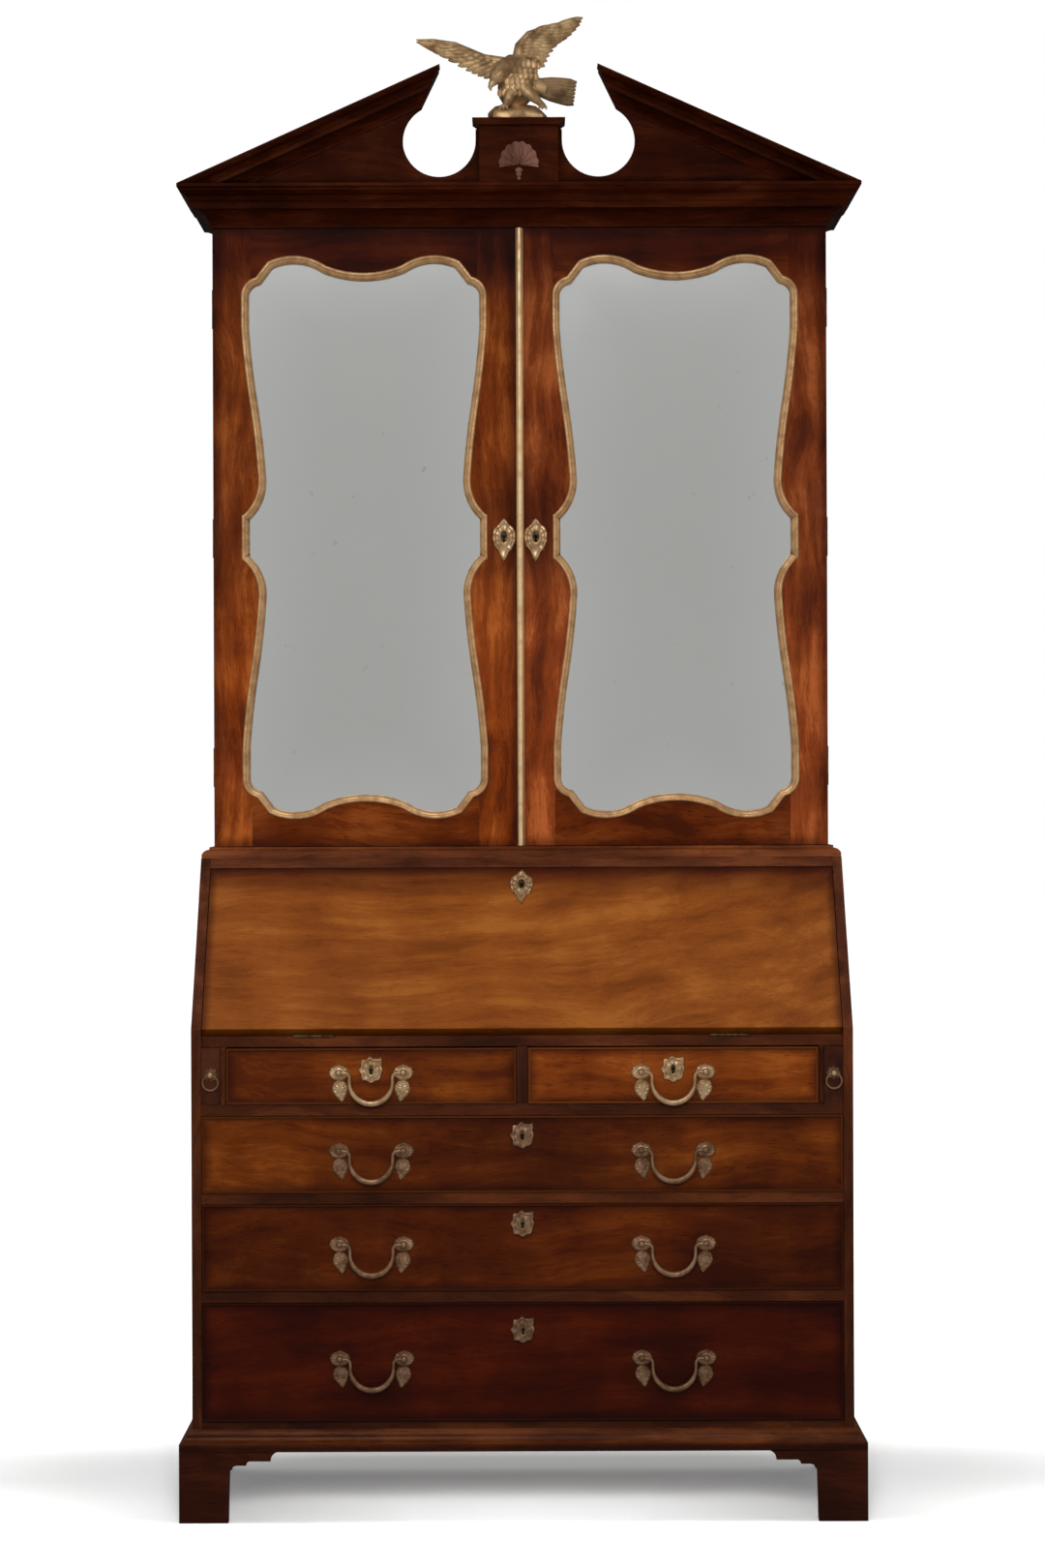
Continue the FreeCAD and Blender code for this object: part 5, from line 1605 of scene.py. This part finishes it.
@dataclass
class EagleFinial:
    """Carved and gilded eagle with raised wings on a rock, drawn in shares of its height."""

    height: float = 0.0
    origin: Vector = field(default_factory=Vector)
    draft: Draft = field(default_factory=Draft)
    rock: Sequence[Flat] = (
        (0.0, 1.0), (0.035, 1.02), (0.065, 0.97), (0.09, 0.88), (0.115, 0.7), (0.13, 0.38))
    rock_half: float = 0.265
    rock_depth: float = 0.115
    rock_lean: float = -0.03
    rock_sides: int = 40
    rock_rough: float = 0.12
    rock_square: float = 0.6
    feather_rings: int = 8
    vane_root: float = 0.45
    vane_swell: float = 2.4
    vane_tip: float = 0.02
    barb_lift: float = 0.55
    quill_taper: float = 0.6
    quill_back: float = 0.4
    wing_back: float = 0.08
    left_wing: Sequence[FeatherRow] = (
        FeatherRow(
            ((-0.10, 0.49), (-0.36, 0.58), (-0.62, 0.70)),
            ((-0.27, 0.38), (-0.40, 0.43), (-0.52, 0.49), (-0.72, 0.61), (-0.86, 0.69), (-0.965, 0.755)),
            12, 0.034, 0.004),
        FeatherRow(
            ((-0.06, 0.51), (-0.33, 0.58), (-0.56, 0.705)), ((-0.24, 0.46), (-0.50, 0.57), (-0.78, 0.70)),
            10, 0.030, 0.016),
        FeatherRow(
            ((-0.02, 0.53), (-0.28, 0.575), (-0.44, 0.65)), ((-0.17, 0.50), (-0.37, 0.57), (-0.60, 0.70)),
            8, 0.028, 0.026))
    left_arm: Sequence[Triple] = (
        (0.0, 0.50, 0.07), (-0.12, 0.545, 0.052), (-0.33, 0.595, 0.036), (-0.60, 0.725, 0.024),
        (-0.80, 0.765, 0.016), (-0.965, 0.775, 0.006))
    right_wing: Sequence[FeatherRow] = (
        FeatherRow(
            ((0.08, 0.60), (0.14, 0.74), (0.30, 0.87)),
            ((0.25, 0.51), (0.30, 0.62), (0.38, 0.73), (0.49, 0.80), (0.58, 0.90), (0.61, 0.975)),
            12, 0.034, 0.004),
        FeatherRow(
            ((0.04, 0.60), (0.08, 0.74), (0.22, 0.865)), ((0.21, 0.60), (0.28, 0.74), (0.46, 0.91)),
            10, 0.030, 0.016),
        FeatherRow(
            ((0.01, 0.60), (0.03, 0.72), (0.13, 0.83)), ((0.13, 0.64), (0.16, 0.77), (0.30, 0.89)),
            8, 0.028, 0.026))
    right_arm: Sequence[Triple] = (
        (0.02, 0.47, 0.07), (0.0, 0.60, 0.058), (0.01, 0.70, 0.046), (0.10, 0.81, 0.036),
        (0.30, 0.885, 0.026), (0.48, 0.93, 0.016), (0.605, 0.975, 0.006))

    def build(self) -> None:
        """Carve the eagle, which stands for its CAD node."""
        low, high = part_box("eagle_finial")
        plinth_low, plinth_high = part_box("pediment_plinth")
        self.height = high.z - low.z
        self.origin = Vector((0.0, (plinth_low.y + plinth_high.y) / 2, low.z))
        self._rock()
        self._body()
        self._breast_feathers()
        self._legs()
        self._wing(self.left_wing, self.left_arm)
        self._wing(self.right_wing, self.right_arm)
        self._tail()
        # The tail's darker gilding is painted shade.
        finishes = [EAGLE_GILDING.material(seed=80.0), SHADED_TAIL_GILDING.material(seed=81.0)]
        piece = self.draft.make("carved_eagle", "carcase", Slot.GILDING, finishes)
        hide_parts("eagle_finial")

    def at(self, x: float, z: float, y: float = 0.0) -> Vector:
        """Point of the eagle."""
        return self.origin + Vector((x, y, z)) * self.height

    def _limb(
        self, points: Sequence[Sequence[float]], radii: Sequence[float], depth: float, sides: int
    ) -> None:
        """Add one rounded limb through points, as a tube."""
        path = [self.at(*point) for point in points]
        self.draft.tube(path, [radius * self.height for radius in radii], depth, sides)

    def _rock(self) -> None:
        """Add the rough rock that the claws hold."""
        rings = []
        top = self.rock[-1][0]
        for level, spread in self.rock:
            ring = []
            for step in range(self.rock_sides):
                turn = 2.0 * math.pi * step / self.rock_sides
                lump = noise.noise(Vector((3.0 * math.cos(turn), 3.0 * math.sin(turn), 9.0 * level)))
                square = 1.0 / max(abs(math.cos(turn)), abs(math.sin(turn))) ** self.rock_square
                reach = spread * (1.0 + self.rock_rough * lump * (level > 0.0)) * square
                lean = self.rock_lean * level / top
                ring.append(self.at(
                    self.rock_half * reach * math.cos(turn) + lean, level + 0.03 * lump * (level > 0.1),
                    self.rock_depth * reach * math.sin(turn)))
            rings.append(ring)
        self.draft.loft(rings)

    def _body(self) -> None:
        """Add the breast, the neck, the hooked beak, the eyes and the brow."""
        breast = ((-0.07, 0.12), (-0.055, 0.18), (-0.03, 0.26), (-0.005, 0.35), (0.015, 0.44), (0.03, 0.52),
                  (0.03, 0.59))
        self._limb(breast, (0.07, 0.135, 0.175, 0.185, 0.165, 0.12, 0.05), depth=0.9, sides=28)
        neck = ((0.0, 0.49, 0.0), (-0.075, 0.495, -0.06), (-0.14, 0.465, -0.10), (-0.185, 0.42, -0.12),
                (-0.215, 0.375, -0.13), (-0.235, 0.335, -0.135))
        self._limb(neck, (0.135, 0.115, 0.094, 0.085, 0.074, 0.040), depth=0.95, sides=22)
        beak = ((-0.225, 0.35, -0.133), (-0.252, 0.325, -0.138), (-0.268, 0.29, -0.142),
                (-0.26, 0.255, -0.144))
        self._limb(beak, (0.042, 0.034, 0.020, 0.004), depth=0.8, sides=14)
        for y in (-0.206, -0.071):
            eye = [(-0.215 + 0.004 * number, 0.40, y) for number in range(3)]
            self._limb(eye, (0.006, 0.013, 0.006), depth=1.0, sides=10)
        brow = ((-0.165, 0.455, -0.186), (-0.20, 0.435, -0.198), (-0.23, 0.40, -0.192))
        self._limb(brow, (0.012, 0.017, 0.008), depth=1.0, sides=10)

    def _breast_feathers(self) -> None:
        """Lay rows of small feathers over the breast."""
        rows = 6
        for row in range(rows):
            share = row / (rows - 1)
            z = 0.24 + 0.26 * share
            for number in range(-3, 4):
                lean = number / 3.0
                x = -0.035 + 0.065 * share + 0.13 * lean + 0.02 * (row % 2)
                y = -0.168 * math.sqrt(1.0 - (0.85 * lean) ** 2)
                root = self.at(x, z + 0.05, y * 0.96)
                tip = self.at(x + 0.012 * lean, z - 0.035, y * 1.03)
                self._feather(root, tip, width=0.030, thick=0.012)

    def _legs(self) -> None:
        """Add two feathered thighs, shanks and claws."""
        legs = (
            ((-0.055, 0.26, -0.12), (-0.095, 0.18, -0.145), (-0.13, 0.12, -0.11)),
            ((0.04, 0.28, -0.13), (0.145, 0.195, -0.15), (0.235, 0.115, -0.10)))
        for thigh, knee, foot in (map(Vector, leg) for leg in legs):
            bends = (thigh, thigh.lerp(knee, 0.5), knee, knee.lerp(foot, 0.5), foot)
            self._limb(bends, (0.055, 0.065, 0.052, 0.034, 0.028), depth=0.9, sides=16)
            for spread in (-0.055, -0.015, 0.03):
                knuckle = foot + Vector((0.6 * spread, -0.004, -0.02))
                claw = foot + Vector((spread, -0.035, -0.038))
                self._limb((foot, knuckle, claw), (0.018, 0.015, 0.004), depth=1.0, sides=10)

    def _feather(
        self, root: Vector, tip: Vector, width: float, thick: float, bow: float = 0.0, finish: int = 0
    ) -> None:
        """Add one feather with a raised quill.

        Args:
            root: Where it grows from.
            tip: Where it ends.
            width: Half width, as a share of the eagle's height.
            thick: Height of the quill, as a share of the eagle's height.
            bow: How far the middle bows to the front, as a share of the eagle's height.
            finish: Number of its finish.
        """
        ahead = tip - root
        side = ahead.cross(Vector((0.0, -1.0, 0.0))).normalized()
        out = side.cross(ahead).normalized()
        if out.y > 0.0:
            out = -out
        rings = []
        for step in range(self.feather_rings):
            share = step / (self.feather_rings - 1)
            vane = self.vane_root + (1.0 - self.vane_root) * min(1.0, self.vane_swell * share)
            full = vane * math.sqrt(max(self.vane_tip, 1.0 - share ** 5))
            half = side * (width * self.height * full)
            quill = out * (thick * self.height * (1.0 - self.quill_taper * share))
            barb = self.barb_lift * quill
            middle = root + ahead * share + out * (bow * self.height * math.sin(math.pi * share))
            rings.append([
                middle + half, middle + 0.5 * half + barb, middle + quill, middle - 0.5 * half + barb,
                middle - half, middle - self.quill_back * quill])
        self.draft.loft(rings, finish)

    def _wing(self, rows: Sequence[FeatherRow], arm: Sequence[Triple]) -> None:
        """Add one wing: its rows of feathers, seen from both sides, and the arm that carries them.

        Args:
            rows: The rows, from the back to the front.
            arm: X, Z and half thickness along the arm.
        """
        for row in rows:
            for number in range(row.count):
                share = number / (row.count - 1)
                x0, z0 = row.along(row.roots, share)
                x1, z1 = row.along(row.tips, share)
                y = -row.lift - 0.002 * (number % 2)
                y0, y1 = y + self.wing_back * abs(x0), y + self.wing_back * abs(x1) + 0.012
                behind = 2.2 * row.lift
                self._feather(
                    self.at(x0, z0, y0), self.at(x1, z1, y1), row.width, thick=0.014, bow=0.012)
                self._feather(
                    self.at(x0, z0, y0 + behind + 0.02), self.at(x1, z1, y1 + behind), row.width,
                    thick=0.012)
        path = [(x, z, self.wing_back * abs(x)) for x, z, _ in arm]
        self._limb(path, [radius for _, _, radius in arm], depth=0.8, sides=14)

    def _tail(self) -> None:
        """Add the fan of tail feathers on the right, in finish 1, a darker gilding that paints them in
        shade.
        """
        stump = ((0.02, 0.36), (0.12, 0.33), (0.26, 0.285))
        self._limb(stump, (0.12, 0.105, 0.07), depth=0.8, sides=18)
        for y in (-0.045, 0.045):
            for number in range(7):
                share = number / 6
                root = self.at(0.13, 0.37 - 0.10 * share, y * 0.6)
                tip = self.at(0.55 - 0.03 * share, 0.355 - 0.21 * share, y)
                self._feather(root, tip, width=0.036, thick=0.013, bow=0.01, finish=1)


class FloorLight(Enum):
    """Whether a light reaches all but the floor, or the floor alone."""

    NONE = "EXCLUDE"
    ALONE = "INCLUDE"


@dataclass(frozen=True)
class Softbox:
    """A soft rectangular light.

    Attributes:
        name: Its name.
        place: Where it hangs.
        aim: The point that it faces.
        size: Its width and its other side.
        power: Its power in watts.
        floor: Whether it reaches the floor.
        mirrored: Whether polished surfaces show it.
        spread: Angle of its beam, in degrees.
    """

    name: str
    place: Triple
    aim: Triple
    size: Flat
    power: float
    floor: FloorLight
    mirrored: bool = True
    spread: float = 180.0

    def hang(self, floor: Object) -> None:
        """Add the light to the scene.

        Args:
            floor: The floor, which it either leaves out or lights alone.
        """
        light = bpy.data.lights.new(self.name, "AREA")
        light.shape = "RECTANGLE"
        light.size, light.size_y = self.size
        light.energy = self.power
        light.spread = math.radians(self.spread)
        lamp = bpy.data.objects.new(self.name, light)
        lamp.location = self.place
        lamp.rotation_euler = (Vector(self.aim) - Vector(self.place)).to_track_quat("-Z", "Y").to_euler()
        lamp.visible_camera = False
        lamp.visible_glossy = self.mirrored
        bpy.context.scene.collection.objects.link(lamp)
        lit = bpy.data.collections.new(f"{self.name}_lit")
        lit.objects.link(floor)
        lit.collection_objects[0].light_linking.link_state = self.floor.value
        lamp.light_linking.receiver_collection = lit
        log.info("%s hangs in the studio", self.name)


@dataclass
class Studio:
    """Pale floor, soft light and the camera at the photograph's place."""

    camera_place: Triple = (0.0023, -7.67, 1.166)
    lens: float = 107.15
    sensor: float = 36.0
    roll: float = 0.21
    floor_radius: float = 40.0
    floor_tones: tuple[Colour, Colour] = ((0.36, 0.36, 0.358), (0.345, 0.345, 0.345))
    floor_roughness: float = 0.9
    near_glow: Colour = (0.17, 0.17, 0.17)
    far_glow: Colour = (0.90, 0.90, 0.90)
    glow_reach: Flat = (0.68, 1.9)
    side_glow: float = 0.10
    sky_glow: float = 1.45
    back_glow: float = 0.05
    front_glow: float = 0.40
    front_turn: Flat = (-0.7, 0.9)
    sky_turn: Flat = (0.35, 0.9)
    lights: Sequence[Softbox] = (
        Softbox("front_softbox", (0.0, -3.0, 1.5), (0.0, 0.0, 1.42), (2.2, 0.5), 13.0, FloorLight.NONE,
                False, 62.0),
        Softbox("upper_softbox", (-0.3, -2.5, 2.9), (0.0, 0.0, 1.2), (1.8, 0.9), 15.0, FloorLight.NONE),
        Softbox("left_softbox", (-3.6, 0.6, 2.6), (0.0, 0.0, 1.2), (1.6, 2.0), 25.0, FloorLight.NONE,
                False),
        Softbox("right_softbox", (3.6, 0.6, 2.6), (0.0, 0.0, 1.2), (1.6, 2.0), 25.0, FloorLight.NONE,
                False),
        Softbox("rear_softbox", (0.4, 3.4, 2.6), (0.0, 0.0, 1.2), (2.4, 2.0), 60.0, FloorLight.NONE, False),
        Softbox("floor_softbox", (0.0, -3.6, 1.2), (0.0, -0.3, 0.0), (0.6, 0.9), 17.5, FloorLight.ALONE,
                spread=24.0),
        Softbox("over_softbox", (0.0, -0.2, 6.0), (0.0, 0.0, 0.0), (2.0, 0.6), 720.0, FloorLight.ALONE))

    def build(self) -> None:
        """Set up the floor, the lights, the surroundings and the camera."""
        bpy.context.scene.view_settings.view_transform = "Standard"
        floor = self._floor()
        for light in self.lights:
            light.hang(floor)
        self._surroundings()
        self._camera()

    def _floor(self) -> Object:
        """Lay a pale disc that only the camera sees.

        Returns:
            The floor's object.
        """
        mesh = bpy.data.meshes.new("studio_floor")
        work = bmesh.new()
        bmesh.ops.create_circle(work, cap_ends=True, segments=96, radius=self.floor_radius)
        work.to_mesh(mesh)
        work.free()
        floor = bpy.data.objects.new("studio_floor", mesh)
        bpy.context.scene.collection.objects.link(floor)
        surface = Surface("pale_floor")
        cloudy = {"Seed": 5.0, "Scale": 0.6, "Low": 0.2, "High": 0.9}
        patches = surface.use(age_patches(), cloudy)["Mask"]
        far = surface.ramp(surface.reach(surface.place()), *self.glow_reach)
        mesh.materials.append(surface.paint({
            "Base Color": surface.blend(patches, *self.floor_tones), "Roughness": self.floor_roughness,
            "Emission Color": surface.blend(far, self.near_glow, self.far_glow), "Emission Strength": 1.0}))
        floor.visible_diffuse = False
        floor.visible_glossy = False
        return floor

    def _surroundings(self) -> None:
        """Hang a white backdrop for the camera, with softer light from above and in front."""
        world = bpy.data.worlds.new("studio_white")
        bpy.context.scene.world = world
        world.use_nodes = True
        tree = ShaderTree(world.node_tree)
        background = world.node_tree.nodes["Background"]
        _, y, z = tree.axes(tree.out("TexCoord", {}, "Generated"))
        mirrored = tree.between(tree.ramp(y * -1.0, *self.front_turn), self.back_glow, self.front_glow)
        overhead = tree.between(tree.ramp(z, *self.sky_turn), self.side_glow, self.sky_glow)
        glow = tree.between(tree.out("LightPath", {}, "Is Glossy Ray"), overhead, mirrored)
        seen = tree.between(tree.out("LightPath", {}, "Is Camera Ray"), glow, 1.0)
        tree.feed(background.inputs["Strength"], seen)
        background.inputs["Color"].default_value = WHITE

    def _camera(self) -> None:
        """Stand the camera in front of the cabinet, with the photograph's slight roll."""
        data = bpy.data.cameras.new("photo_camera")
        data.sensor_fit = "VERTICAL"
        data.sensor_height = self.sensor
        data.lens = self.lens
        camera = bpy.data.objects.new("photo_camera", data)
        camera.location = self.camera_place
        camera.rotation_euler = (math.pi / 2, math.radians(self.roll), 0.0)
        bpy.context.scene.collection.objects.link(camera)
        bpy.context.scene.camera = camera


def main() -> None:
    """Build and dress every sub-assembly, then light it."""
    logging.basicConfig(level=logging.INFO, format="%(message)s")
    Carcase().build()
    DrawerStack().build()
    WritingInterior().build()
    MirrorDoors().build()
    Crown().build()
    EagleFinial().build()
    Studio().build()


if __name__ == "__main__":
    main()
